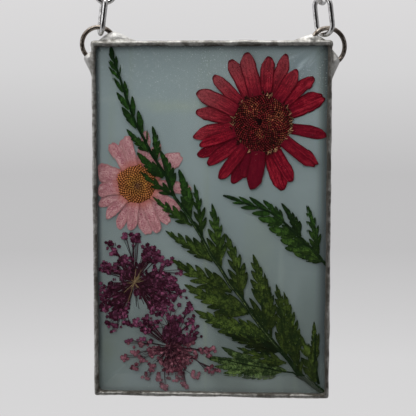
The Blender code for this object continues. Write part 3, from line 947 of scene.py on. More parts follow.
# The edge colour is painted shade under the border.
WISPY_GLASS = WispyGlassFinish(
    "wispy_back_glass", (0.241, 0.290, 0.301), (0.122, 0.145, 0.138), (0.29, 0.335, 0.335),
    (0.225, 0.262, 0.185), (0.040, 0.048, 0.054),
    (
        WispOrReflection((-16.0, 50.0), (26.0, 5.0), 0.0, 0.55, (0.280, 0.325, 0.265)),
        WispOrReflection((38.0, 66.0), (14.0, 9.0), 20.0, 0.7, (0.200, 0.245, 0.270)),
        # The next three bright, thin diagonal streaks are a painted reflection on the front pane, not
        # wisps in the glass.
        WispOrReflection((38.0, 66.5), (10.0, 1.5), 42.0, 0.95, (0.400, 0.465, 0.500)),
        WispOrReflection((33.0, 69.5), (9.0, 1.3), 24.0, 0.8, (0.330, 0.385, 0.410)),
        WispOrReflection((42.5, 68.5), (5.0, 1.1), 55.0, 0.8, (0.330, 0.385, 0.410)),
        WispOrReflection((30.5, -14.0), (2.4, 42.0), 0.0, 0.5, (0.235, 0.275, 0.260)),
        WispOrReflection((22.0, -10.0), (10.0, 26.0), 0.0, 0.4, (0.225, 0.262, 0.225)),
        WispOrReflection((-22.0, -74.0), (36.0, 5.0), 0.0, 0.5, (0.165, 0.200, 0.210)),
        WispOrReflection((-45.5, -57.0), (5.0, 13.0), 0.0, 0.5, (0.150, 0.172, 0.142)),
        WispOrReflection((-26.0, -69.5), (24.0, 6.0), 0.0, 0.5, (0.158, 0.196, 0.222)),
        # This thin diagonal line is a painted reflection of the front pane's bevel mitre.
        WispOrReflection((-41.0, -66.8), (8.0, 0.6), 43.0, 0.7, (0.205, 0.245, 0.250)),
    ),
)


@dataclass
class Petal:
    """One petal of a daisy, in polar form about the flower's centre."""

    angle: float
    reach: float
    width: float
    bend: float = 0.0
    tip: Tip = Tip.ROUND
    tone: float = 0.0
    cut: float | None = None

    def build(
        self, centre: Point, start: float, foot: float, taper: float, back: float, seed: int
    ) -> bpy.types.Object:
        """Shape the petal from a grid.

        Args:
            centre: The flower's centre.
            start: The distance of the petal's base from the centre.
            foot: The width of its base as a share of its full width.
            taper: How much its tip narrows; 1 is a broad tip.
            back: The height of the petal's back above the back pane.
            seed: A number that makes its waves its own.

        Returns:
            The petal, in sheet millimetres.
        """
        obj = add_grid(12, 30)
        grid = points_of(obj) + 0.5
        across = grid[:, 0] * 2.0 - 1.0
        along = grid[:, 1]
        rng = np.random.default_rng(seed)
        phases = rng.uniform(0.0, 2.0 * math.pi, 6)
        stations = (0.0, 0.12, 0.35, 0.62, 0.82, 0.92, 1.0)
        tips = (0.97 * taper**0.4, 0.91 * taper, 0.78 * taper**2)
        widths = (foot, 0.3 + 0.7 * foot, 0.97, 1.0, *tips)
        half = np.interp(along, stations, widths) * self.width / 2.0
        side = np.where(across > 0.0, 1.7, 0.0)
        half *= 1.0 + 0.035 * np.sin(along * 9.0 + phases[0] + side)
        half *= 1.0 + 0.025 * np.sin(along * 23.0 + phases[5] + 2.0 * side) * along
        length = self.reach - start
        roundness = (0.42 + 0.08 * math.sin(phases[0])) * self.width / length
        if self.cut is not None:
            roundness *= 0.4
        slant = 0.25 * math.sin(phases[4])
        off = np.abs(across - slant * (1.0 - across**2))
        end = 1.0 - roundness * off ** (2.6 + 0.5 * math.sin(phases[5]))
        end -= self.tip.value * (0.5 + 0.5 * np.cos(across * math.pi * 2.0 + 0.6 * phases[1] / math.pi))
        if self.tip is not Tip.ROUND:
            end += 0.04 * np.abs(across) ** 2.2
        distance = start + length * (along * (1.0 + (end - 1.0) * along**2))
        sway = self.bend * along**2 + 0.25 * np.sin(along * 5.0 + phases[2]) * along
        offset = across * half + sway
        ridges = 0.05 * np.cos(across * math.pi * 3.0) * (1.0 - 0.6 * along)
        waves = 0.03 * np.sin(along * 11.0 + phases[3]) + 0.03 * np.sin(across * 5.0 + phases[4])
        curl = 0.05 * np.abs(across) ** 3
        turn = math.radians(self.angle)
        if self.cut is not None:
            room = (self.cut - centre[0] + offset * math.sin(turn)) / math.cos(turn)
            distance = start + (distance - start) * np.minimum(1.0, (room - start) / length)
        u = centre[0] + distance * math.cos(turn) - offset * math.sin(turn)
        v = centre[1] + distance * math.sin(turn) + offset * math.cos(turn)
        h = back + 0.15 + ridges + waves + curl
        set_points(obj, np.stack([u, v, h], axis=1))
        float_layer(obj, "tone", np.full(len(u), self.tone))
        float_layer(obj, "seed", np.full(len(u), float(seed) * 1.7))
        apply_modifier(obj, "SOLIDIFY", thickness=0.10, offset=0.0)
        obj.data.shade_smooth()
        return obj


@dataclass
class Daisy:
    """A pressed daisy: a disc of tiny florets with a ring of petals behind it."""

    stem: str
    disc_name: str
    centre: Point
    radius: float
    depth: float
    layers: int
    petals: tuple[Petal, ...]
    petal_finish: PetalFinish
    disc_finish: TintFinish
    petal_slot: str
    disc_slot: str
    floret: float
    petal_foot: float
    petal_taper: float
    layer_backs: tuple[float, ...] = (0.25, 0.8, 1.35)

    def build(self) -> None:
        """Build the petals and the disc."""
        material = self.petal_finish.material()
        for index, petal in enumerate(self.petals):
            back = self.layer_backs[index % self.layers]
            seed = index + len(self.stem)
            start = self.radius - 1.2
            obj = petal.build(self.centre, start, self.petal_foot, self.petal_taper, back, seed)
            obj.data.transform(SHEET)
            node = f"{self.stem}_{index + 1:02d}"
            settle(obj, f"pressed_{node}", Body.FRAME, material, self.petal_slot, node)
        self.build_disc()

    def floret_shape(self) -> bpy.types.Object:
        """Model one open floret: a five-sided cup with a sunken middle.

        Returns:
            The floret, one unit across and one unit high.
        """
        deselect()
        bpy.ops.mesh.primitive_cone_add(vertices=5, radius1=0.34, radius2=0.5, depth=1.0)
        obj = bpy.context.object
        edit_chosen(obj, Part.FACES, [polygon.normal.z > 0.9 for polygon in obj.data.polygons])
        bpy.ops.mesh.inset(thickness=0.17, depth=-0.12)
        bpy.ops.mesh.inset(thickness=0.12, depth=-0.22)
        bpy.ops.object.mode_set(mode="OBJECT")
        return obj

    def floret_painted_light(self, shape: bpy.types.Object) -> np.ndarray:
        """Paint a floret's light and shade: painted shade on its foot and in its sunken middle, and a
        painted highlight on its open rim.

        Args:
            shape: The floret.

        Returns:
            The brightness of each of its vertices.
        """
        points = points_of(shape)
        reach = np.hypot(points[:, 0], points[:, 1])
        open_rim = (points[:, 2] > 0.3) & (reach > 0.25)
        # Painted highlight on the open rim, painted shade on the foot and in the sunken middle.
        return np.where(open_rim, 1.35, np.where(points[:, 2] < 0.0, 0.10, 0.55))

    def disc_tint(self, radius: float, u: float, v: float, rng: np.random.Generator) -> Colour:
        """Choose one floret's colour.

        Args:
            radius: Its distance from the centre, as a share of the disc's radius.
            u: Its place across the panes.
            v: Its place up the panes.
            rng: The random numbers.

        Returns:
            The colour.
        """
        raise NotImplementedError

    def build_disc(self) -> None:
        """Build the disc: a low dome covered with florets along spirals."""
        rng = np.random.default_rng(len(self.disc_name))
        shape = self.floret_shape()
        count = int(math.pi * (self.radius / self.floret) ** 2)
        places = []
        tints = []
        golden = math.radians(GOLDEN_ANGLE)
        for n in range(count):
            share = math.sqrt((n + 0.5) / count)
            reach = share * (self.radius - 0.2)
            turn = n * golden
            u = reach * math.cos(turn)
            v = reach * math.sin(turn)
            dome = self.depth * 0.30 * (1.0 + math.sqrt(1.0 - share**2))
            height = 0.25 + dome + 0.14 + rng.uniform(-0.06, 0.06)
            size = self.floret * rng.uniform(0.85, 1.15)
            lean = Matrix.Rotation(0.35 * share, 4, Vector((-v, u, 0.0)).normalized())
            scale = Matrix.Diagonal((size * 0.92, size * 0.68, 0.40, 1.0))
            spin = Matrix.Rotation(turn + rng.uniform(-0.2, 0.2), 4, "Z")
            place = Matrix.Translation((self.centre[0] + u, self.centre[1] + v, height))
            places.append(place @ lean @ spin @ scale)
            tints.append(self.disc_tint(share, u, v, rng))
        florets = stamp("florets", shape, places, tints, self.floret_painted_light(shape))
        discard(shape)
        disc = join([florets, self.disc_bed(), *self.rim_bits(rng)])
        disc.data.transform(SHEET)
        material = self.disc_finish.material()
        settle(disc, f"pressed_{self.disc_name}", Body.FRAME, material, self.disc_slot, self.disc_name)

    def disc_bed(self) -> bpy.types.Object:
        """Model the bed that the florets stand on.

        Returns:
            The bed.
        """
        deselect()
        bpy.ops.mesh.primitive_uv_sphere_add(segments=48, ring_count=16, radius=self.radius - 0.3)
        obj = bpy.context.object
        points = points_of(obj)
        points[:, 2] *= self.depth * 0.30 / (self.radius - 0.3)
        reach = np.hypot(points[:, 0], points[:, 1])
        ripple = 1.0 + 0.02 * np.sin(np.arctan2(points[:, 1], points[:, 0]) * 17.0)
        points[:, :2] *= np.where(reach > self.radius * 0.8, ripple, 1.0)[:, None]
        points += np.array([self.centre[0], self.centre[1], 0.25 + self.depth * 0.30])
        set_points(obj, points)
        tint_layer(obj.data, np.tile((*self.disc_finish.shade, 1.0), len(points)))
        return obj

    def rim_bits(self, rng: np.random.Generator) -> list[bpy.types.Object]:
        """Model loose bits round the rim of the disc; a plain daisy has none.

        Args:
            rng: The random numbers.

        Returns:
            The bits.
        """
        return []


def sliver_shape() -> bpy.types.Object:
    """Model a pointed sliver, used for sepals and dried bits.

    Returns:
        The sliver, one unit long from the origin and one unit wide.
    """
    obj = add_grid(2, 4)
    points = points_of(obj) + np.array([0.0, 0.5, 0.0])
    along = points[:, 1].copy()
    width = np.interp(along, (0.0, 0.35, 0.8, 1.0), (0.7, 1.0, 0.55, 0.08))
    points[:, 2] = 0.12 * (1.0 - np.abs(points[:, 0]) * 2.0)
    points[:, 0] *= width
    set_points(obj, points)
    apply_modifier(obj, "SOLIDIFY", thickness=0.12, offset=0.0)
    return obj


def lay(base: Point, tip: Point, width: float, height: float, lift: float = 0.0) -> Matrix:
    """Give the place that lays a unit sliver from base to tip.

    Args:
        base: Where it starts.
        tip: Where it ends.
        width: Its width.
        height: Its height above the back pane.
        lift: How much higher its tip is.

    Returns:
        The matrix.
    """
    axis = Vector((tip[0] - base[0], tip[1] - base[1], lift))
    side = Vector((axis.y, -axis.x, 0.0)).normalized() * width
    up = side.cross(axis).normalized()
    matrix = Matrix.Identity(4)
    for row in range(3):
        matrix[row][0] = side[row]
        matrix[row][1] = axis[row]
        matrix[row][2] = up[row]
        matrix[row][3] = (base[0], base[1], height)[row]
    return matrix


def polar(centre: Point, angle: float, reach: float) -> Point:
    """Give the point at an angle in degrees and a distance from a centre."""
    turn = math.radians(angle)
    return centre[0] + reach * math.cos(turn), centre[1] + reach * math.sin(turn)


@dataclass
class RedDaisy(Daisy):
    """The red daisy, whose disc is maroon with orange patches and a dark middle."""

    patches: tuple[tuple[Point, float], ...] = (
        ((5.8, 1.6), 4.2), ((6.6, 5.6), 3.0), ((-0.6, -4.4), 1.8), ((-4.8, 6.6), 3.2),
        ((8.8, -6.0), 2.8),
    )
    bit_count: int = 190
    tan_bits: tuple[float, ...] = (
        137.0, 28.0, 16.0, 4.0, -12.0, -26.0, 250.0, 262.0, 94.0, 79.0, 66.0, 147.0, 172.0, 232.0,
        286.0, 300.0,
    )

    def disc_tint(self, radius: float, u: float, v: float, rng: np.random.Generator) -> Colour:
        """Choose one floret's colour.

        Args:
            radius: Its distance from the centre, as a share of the disc's radius.
            u: Its place across the disc.
            v: Its place up the disc.
            rng: The random numbers.

        Returns:
            The colour.
        """
        maroon = np.array([0.120, 0.0060, 0.011]) * rng.uniform(0.1, 1.9)
        orange = np.array([0.62, 0.205, 0.090]) * rng.uniform(0.5, 1.4)
        glow = 0.10
        for (pu, pv), size in self.patches:
            glow = max(glow, math.exp(-(((u - pu) ** 2 + (v - pv) ** 2) / size**2)))
        share = 0.95 * glow * rng.random() ** 1.4
        colour = maroon * (1.0 - share) + orange * share
        if math.hypot(u + 0.9, v - 1.0) < 1.4:
            colour = np.array([0.003, 0.001, 0.001])
        if radius > 0.88 and rng.random() < 0.25:
            colour = np.array([0.34, 0.19, 0.09]) * rng.uniform(0.4, 1.2)
        return tuple(colour)

    def rim_bits(self, rng: np.random.Generator) -> list[bpy.types.Object]:
        """Model the tan and dark bits of sepal that show round the disc.

        Args:
            rng: The random numbers.

        Returns:
            The bits.
        """
        shape = sliver_shape()
        places = []
        tints = []
        for n in range(self.bit_count):
            angle = n * 360.0 / self.bit_count + rng.uniform(-2.0, 2.0)
            base = polar(self.centre, angle, self.radius - rng.uniform(0.2, 1.2))
            turned = angle + rng.uniform(-8.0, 8.0)
            tip = polar(self.centre, turned, self.radius + rng.uniform(-0.3, 1.1))
            places.append(lay(base, tip, rng.uniform(0.3, 0.65), rng.uniform(0.9, 1.5)))
            near = any(abs((angle - bit + 180.0) % 360.0 - 180.0) < 8.0 for bit in self.tan_bits)
            bright = rng.uniform(0.5, 1.3)
            if rng.random() < (0.5 if near else 0.16):
                tints.append((0.40 * bright, 0.23 * bright, 0.12 * bright))
            elif rng.random() < 0.6:
                tints.append((0.012, 0.004, 0.003))
            else:
                tints.append((0.07 * bright, 0.012 * bright, 0.008 * bright))
        bits = stamp("bits", shape, places, tints)
        discard(shape)
        return [bits]


@dataclass
class PinkDaisy(Daisy):
    """The pink daisy, whose disc is orange with a purple-grey middle."""

    def disc_tint(self, radius: float, u: float, v: float, rng: np.random.Generator) -> Colour:
        """Choose one floret's colour.

        Args:
            radius: Its distance from the centre, as a share of the disc's radius.
            u: Its place across the disc.
            v: Its place up the disc.
            rng: The random numbers.

        Returns:
            The colour.
        """
        inner = np.array([0.45, 0.240, 0.030])
        outer = np.array([0.60, 0.205, 0.080])
        colour = (inner * (1.0 - radius) + outer * radius) * rng.uniform(0.75, 1.25)
        grey = math.exp(-((u - 0.3) ** 2 + (v + 0.5) ** 2) / 4.0)
        colour = colour * (1.0 - grey) + np.array([0.15, 0.080, 0.055]) * grey
        if radius > 0.9 and rng.random() < 0.3:
            colour = np.array([0.13, 0.014, 0.014])
        return tuple(colour)


@dataclass
class Umbel:
    """A pressed umbel: fine rays from one point, each with a head of tiny flowers."""

    node: str
    centre: Point
    umbellets: tuple[tuple[Point, ...], ...]
    layer: float
    seed: int
    pale_below: float = -1000.0
    loose_rays: tuple[tuple[Point, Point], ...] = ()
    masses: tuple[tuple[Point, float, int, float], ...] = ()
    tan_count: int = 0
    dark_count: int = 22
    flowers_each: int = 7
    fork: float = 0.66

    def flower_shape(self) -> bpy.types.Object:
        """Model one tiny five-petalled flower.

        Returns:
            The flower, of radius one.
        """
        deselect()
        bpy.ops.mesh.primitive_circle_add(vertices=20, radius=1.0, fill_type="TRIFAN")
        obj = bpy.context.object
        points = points_of(obj)
        reach = np.hypot(points[:, 0], points[:, 1])
        turn = np.arctan2(points[:, 1], points[:, 0])
        lobe = 0.84 + 0.16 * np.cos(turn * 5.0)
        points[:, :2] *= lobe[:, None]
        points[:, 2] = np.where(reach > 0.5, 0.05, 0.45)
        set_points(obj, points)
        apply_modifier(obj, "SOLIDIFY", thickness=0.22, offset=0.0)
        return obj

    def stalk_shape(self) -> bpy.types.Object:
        """Model a thin stalk along Y.

        Returns:
            The stalk, one unit long from the origin and one unit wide.
        """
        deselect()
        bpy.ops.mesh.primitive_cylinder_add(
            vertices=6, radius=0.5, depth=1.0, location=(0.0, 0.5, 0.0), rotation=(math.pi / 2, 0, 0)
        )
        obj = bpy.context.object
        bpy.ops.object.transform_apply(location=True, rotation=True, scale=True)
        bpy.ops.object.mode_set(mode="EDIT")
        bpy.ops.mesh.select_all(action="SELECT")
        bpy.ops.mesh.subdivide(number_cuts=2)
        bpy.ops.object.mode_set(mode="OBJECT")
        points = points_of(obj)
        points[:, 0] *= 1.0 - 0.3 * points[:, 1]
        points[:, 2] *= 0.5
        set_points(obj, points)
        return obj

    def tint(self, v: float, rng: np.random.Generator) -> Colour:
        """Choose one flower's colour.

        Args:
            v: Its place up the panes.
            rng: The random numbers.

        Returns:
            The colour.
        """
        dark = np.array([0.034, 0.003, 0.012])
        light = np.array([0.320, 0.090, 0.180])
        share = rng.beta(0.8, 1.8)
        if v < self.pale_below:
            dark = np.array([0.085, 0.016, 0.028])
            light = np.array([0.29, 0.115, 0.145])
            share = rng.beta(1.4, 1.4)
        return tuple(dark * (1.0 - share) + light * share)

    def build(self, material: bpy.types.Material) -> None:
        """Build the umbel as one piece.

        Args:
            material: Its material.
        """
        rng = np.random.default_rng(self.seed)
        flower = self.flower_shape()
        stalk = self.stalk_shape()
        heads: list[Matrix] = []
        head_tints: list[Colour] = []
        rays: list[Matrix] = []
        ray_tints: list[Colour] = []
        base = self.layer + 0.12

        def ray(start: Point, end: Point, width: float, pale: bool) -> None:
            """Lay one stalk.

            Args:
                start: Where it starts.
                end: Where it ends.
                width: Its width.
                pale: Whether it is tan.
            """
            lift = 0.26 if pale else rng.uniform(-0.04, 0.16)
            rays.append(lay(start, end, width, base + lift))
            tan = np.array([0.27, 0.19, 0.10]) * rng.uniform(0.6, 1.1)
            brown = np.array([0.034, 0.008, 0.014]) * rng.uniform(0.4, 1.8)
            ray_tints.append(tuple(tan if pale else brown))

        def flower_at(spot: Point, size: float, tint: Colour, lift: float) -> None:
            """Place one flower.

            Args:
                spot: Where it lies.
                size: Its radius.
                tint: Its colour.
                lift: Its height in the umbel.
            """
            lean = Matrix.Rotation(rng.uniform(-0.35, 0.35), 4, "X")
            lean = lean @ Matrix.Rotation(rng.uniform(-0.35, 0.35), 4, "Y")
            spin = Matrix.Rotation(rng.uniform(0.0, math.pi), 4, "Z")
            scale = Matrix.Diagonal((size, size * rng.uniform(0.72, 1.0), 0.24, 1.0))
            heads.append(Matrix.Translation((*spot, base + lift)) @ spin @ lean @ scale)
            head_tints.append(tint)

        for florets in self.umbellets:
            mean = sum((Vector(floret) for floret in florets), Vector((0.0, 0.0))) / len(florets)
            fork = Vector(self.centre).lerp(mean, self.fork)
            for _ in range(1 + len(florets) // 2):
                aim = fork + Vector(rng.normal(0.0, 0.5, 2))
                ray(self.centre, tuple(aim), 0.36, False)
            for middle in florets:
                for _ in range(self.flowers_each):
                    spread = rng.normal(0.0, 1.0, 2)
                    spot = (middle[0] + spread[0], middle[1] + spread[1])
                    if rng.random() < 0.5:
                        ray(tuple(fork), spot, 0.2, False)
                    tint = self.tint(spot[1], rng)
                    flower_at(spot, rng.uniform(0.75, 1.25), tint, rng.uniform(0.06, 0.26))
        for middle, radius, count, bright in self.masses:
            for _ in range(count):
                spot = polar(middle, rng.uniform(0.0, 360.0), radius * math.sqrt(rng.random()))
                shade = bright * rng.uniform(0.4, 1.5)
                tint = tuple(shade * value for value in self.tint(spot[1], rng))
                flower_at(spot, rng.uniform(0.70, 1.20), tint, rng.uniform(0.0, 0.20))
                if rng.random() < 0.4:
                    start = Vector(self.centre).lerp(Vector(spot), rng.uniform(0.0, 0.5))
                    ray(tuple(start), spot, rng.uniform(0.2, 0.4), False)
        for start, end in self.loose_rays:
            ray(start, end, 0.42, True)
        for _ in range(self.tan_count):
            end = polar(self.centre, rng.uniform(0.0, 360.0), rng.uniform(1.5, 4.2))
            ray(self.centre, end, 0.42, True)
        for _ in range(self.dark_count):
            end = polar(self.centre, rng.uniform(0.0, 360.0), rng.uniform(4.0, 13.0))
            ray(self.centre, end, rng.uniform(0.2, 0.4), False)
        shape = points_of(flower)
        reach = np.minimum(np.hypot(shape[:, 0], shape[:, 1]), 1.0)
        # Painted light: each tiny flower is brightest at its middle and shaded at its edge, like a lit
        # bead.
        shades = 1.35 - 0.95 * reach**2
        flowers = stamp("flowers", flower, heads, head_tints, shades)
        stalks = stamp("stalks", stalk, rays, ray_tints)
        discard(flower, stalk)
        umbel = join([flowers, stalks])
        points = points_of(umbel)
        points[:, 0] = np.maximum(points[:, 0], -WINDOW_HALF)
        set_points(umbel, points)
        umbel.data.transform(SHEET)
        settle(umbel, f"pressed_{self.node}", Body.FRAME, material, "umbel", self.node)


@dataclass
class Leaflet:
    """One leaflet of a frond, seen from its base on the midrib to its tip."""

    base: Point
    tip: Point
    left: float
    right: float
    bow: float = 0.0
    tone: float = 1.0


@dataclass
class Frond:
    """A pressed fern frond: a fine midrib with lobed leaflets on both sides."""

    node: str
    midrib: tuple[Point, ...]
    leaflets: tuple[Leaflet, ...]
    layer: float
    seed: int
    rib_width: float = 0.9
    rib_lift: float = 0.22
    painted_highlight_stripe: bool = False
    blue: float = 1.0
    slim: float = 0.34
    red: float = 1.0

    def lobe_shape(self) -> bpy.types.Object:
        """Model one blunt-pointed lobe with a small tooth on its outer side.

        Returns:
            The lobe, one unit long from the origin and one unit wide.
        """
        obj = add_grid(6, 12)
        points = points_of(obj) + np.array([0.0, 0.5, 0.0])
        along = points[:, 1].copy()
        outer = np.interp(
            along,
            (0.0, 0.18, 0.42, 0.62, 0.74, 0.78, 0.86, 0.95, 1.0),
            (0.50, 0.84, 1.00, 0.96, 0.88, 0.62, 0.60, 0.38, 0.06),
        )
        inner = np.interp(
            along, (0.0, 0.18, 0.45, 0.70, 0.86, 0.95, 1.0), (0.50, 0.84, 0.98, 0.84, 0.58, 0.34, 0.06)
        )
        side = np.where(points[:, 0] > 0.0, outer, inner)
        points[:, 2] = 0.08 * (1.0 - np.abs(points[:, 0]) * 2.0)
        points[:, 0] = points[:, 0] * side + 0.08 * along**2
        set_points(obj, points)
        apply_modifier(obj, "SOLIDIFY", thickness=0.08, offset=0.0)
        return obj

    def lobe_painted_light(self, shape: bpy.types.Object) -> np.ndarray:
        """Paint a lobe's light and shade: painted shade along its edges, where lobes overlap, and a
        painted highlight down its middle; it also darkens towards the tip and along its fine middle
        vein.

        Args:
            shape: The lobe.

        Returns:
            The brightness of each of its vertices.
        """
        points = points_of(shape)
        along = np.clip(points[:, 1], 0.0, 1.0)
        edge = np.minimum(np.abs(points[:, 0] - 0.08 * along**2) * 2.0, 1.0)
        vein = np.where(edge < 0.1, 0.72, 1.0)
        # Painted highlight down the middle, painted shade at the edges where lobes overlap.
        return vein * (1.42 - 0.95 * along**2) * (1.0 - 0.80 * edge**2)

    def lobes_of(
        self, leaflet: Leaflet, height: float, rng: np.random.Generator
    ) -> tuple[list[Matrix], list[Colour]]:
        """Lay out the lobes of one leaflet.

        Args:
            leaflet: The leaflet.
            height: Its height above the back pane.
            rng: The random numbers.

        Returns:
            The place and the tint of each lobe.
        """
        base, tip = Vector(leaflet.base), Vector(leaflet.tip)
        length = (tip - base).length
        axis = (tip - base).normalized()
        normal = Vector((-axis.y, axis.x))
        tone = leaflet.tone * rng.uniform(0.9, 1.12)
        places = []
        tints = []

        def spot(share: float) -> Vector:
            """Give the point of the leaflet's own rib at a share of its length."""
            bow = leaflet.bow * math.sin(math.pi * share)
            return base + axis * (length * share) + normal * bow

        def lobe(start: Vector, end: Vector, width: float, lift: float, shade: float) -> None:
            """Place one lobe.

            Args:
                start: Where it starts.
                end: Where it ends.
                width: Its width.
                lift: Its height in the leaflet.
                shade: How bright it is.
            """
            places.append(lay(tuple(start), tuple(end), width, height + lift))
            tints.append((tone * shade * self.red, tone * shade, tone * shade * self.blue))

        full = leaflet.left + leaflet.right
        if full < 2.7:
            lobe(spot(0.0), tip, full * 1.1, 0.02, 0.9)
            for hand, share in ((1.0, 0.52), (-1.0, 0.58), (1.0, 0.78), (-1.0, 0.82)):
                end = spot(share) + normal * (hand * full * 0.56 * (1.25 - share))
                lobe(spot(share - 0.34), end, full * -0.42 * hand, 0.03, rng.uniform(0.8, 1.3))
            return places, tints
        small = full < 4.6 or length < 14.5
        slim = 0.78 if small else self.slim
        lobe(spot(0.0), spot(0.62), full * slim, 0.0, 0.42)
        lobe(spot(0.22), spot(0.90), full * slim * 0.86, 0.01, 0.75)
        lobe(spot(0.55), tip, full * (0.58 if small else 0.30), 0.05, 1.0)
        count = max(3, round(length / (3.3 if small else 5.4)))
        for hand, width in ((1.0, leaflet.left), (-1.0, leaflet.right)):
            for step in range(1, count + 1):
                back = (step - 0.25 * (hand < 0.0)) / count
                share = 1.0 - 0.66 * back**1.12
                offset = width * min(1.0, ((1.0 - share) / 0.55) ** 0.7) * rng.uniform(0.88, 1.08)
                offset *= 1.12 if small else 1.04
                forward = offset * 1.55 + 0.08 * length
                start = spot(max(0.0, share - forward / length))
                end = spot(share) + normal * (hand * offset)
                size = (end - start).length
                breadth = min(size * (0.40 if small else 0.32), 2.8) * rng.uniform(0.9, 1.12)
                shade = (0.38 + 0.85 * share) * rng.uniform(0.75, 1.25)
                lobe(start, end, breadth * -hand, 0.06 * rng.random(), shade)
        return places, tints

    def rib(self) -> bpy.types.Object:
        """Model the midrib along its points, with a stripe of painted highlight where asked.

        Returns:
            The midrib.
        """
        last = len(self.midrib) - 1
        steps = range(last + 1)
        obj = add_grid(8, last * 4)
        points = points_of(obj) + 0.5
        across = points[:, 0] * 2.0 - 1.0
        along = points[:, 1] * last
        across_path, up_path = np.array(self.midrib).T
        u = np.interp(along, steps, across_path)
        v = np.interp(along, steps, up_path)
        before = np.clip(along - 0.4, 0, last)
        after = np.clip(along + 0.4, 0, last)
        du = np.interp(after, steps, across_path) - np.interp(before, steps, across_path)
        dv = np.interp(after, steps, up_path) - np.interp(before, steps, up_path)
        size = np.hypot(du, dv)
        half = self.rib_width / 2.0 * (1.0 - 0.55 * along / last)
        u = u - dv / size * across * half
        v = v + du / size * across * half
        h = self.layer + self.rib_lift + 0.12 * (1.0 - across**2)
        set_points(obj, np.stack([u, v, h], axis=1))
        share = along / last
        # The pale stripe along part of the long midrib is a painted highlight, the sheen on the stalk.
        stripe = (np.abs(across - 0.25) < 0.1) & (share > 0.18) & (share < 0.62) & self.painted_highlight_stripe
        shades = np.where(stripe[:, None], (3.0, 2.5, 5.5, 1.0), (0.18, 0.24, 0.35, 1.0))
        tint_layer(obj.data, shades)
        apply_modifier(obj, "SOLIDIFY", thickness=0.16, offset=0.0)
        return obj

    def build(self, material: bpy.types.Material) -> None:
        """Build the frond as one piece.

        Args:
            material: Its material.
        """
        rng = np.random.default_rng(self.seed)
        shape = self.lobe_shape()
        places: list[Matrix] = []
        tints: list[Colour] = []
        for index, leaflet in enumerate(self.leaflets):
            height = self.layer + 0.06 + 0.06 * (index % 3)
            some, more = self.lobes_of(leaflet, height, rng)
            places += some
            tints += more
        lobes = stamp("lobes", shape, places, tints, self.lobe_painted_light(shape))
        discard(shape)
        frond = join([lobes, self.rib()])
        clean(frond, 0.00001)
        frond.data.transform(SHEET)
        settle(frond, f"pressed_{self.node}", Body.FRAME, material, "frond", self.node)


LEFT_SIDE_MOUND = ((3.6, 0.0), (2.4, 2.6), (0.3, 4.6), (-2.6, 3.2), (-5.6, 1.7), (-10.0, 0.0))
RIGHT_SIDE_MOUND = ((5.6, 0.0), (3.0, 2.5), (-0.4, 4.2), (-3.6, 2.6), (-7.0, 1.2), (-10.4, 0.0))
TOP_LEFT_MOUND = ((11.0, 0.0), (7.0, 1.5), (3.6, 3.3), (0.0, 4.9), (-3.4, 3.7), (-7.4, 0.0))
TOP_RIGHT_MOUND = ((6.4, 0.0), (3.6, 1.8), (0.2, 3.4), (-2.6, 2.5), (-5.6, 1.4), (-9.4, 0.0))


@dataclass
class Mound:
    """A mound of solder, turned about the border's edge."""

    middle: tuple[float, float, float]
    profile: tuple[Point, ...]
    upright: bool
    outwards: float = 1.0
    inner: float = 1.8

    def build(self) -> bpy.types.Object:
        """Shape the mound from a grid that is rolled up.

        Returns:
            The mound, in world metres.
        """
        obj = add_grid(28, 28)
        grid = points_of(obj) + 0.5
        line = np.array(sorted(self.profile))
        fine = np.linspace(line[0, 0], line[-1, 0], 29)
        radii = np.interp(fine, line[:, 0], line[:, 1])
        for _ in range(3):
            radii[1:-1] = 0.25 * radii[:-2] + 0.5 * radii[1:-1] + 0.25 * radii[2:]
        distance = line[0, 0] + grid[:, 1] * (line[-1, 0] - line[0, 0])
        radius = np.interp(distance, fine, radii)
        turn = grid[:, 0] * 2.0 * math.pi
        out = np.maximum(radius * np.cos(turn), -self.inner) * self.outwards
        deep = radius * np.sin(turn) * 0.75
        flat = (out, distance) if self.upright else (distance, out)
        u, v, y = self.middle
        places = np.stack([u + flat[0], y + deep, v + flat[1] - HANG_V], axis=1)
        set_points(obj, places * MM)
        clean(obj, 0.00002)
        return obj


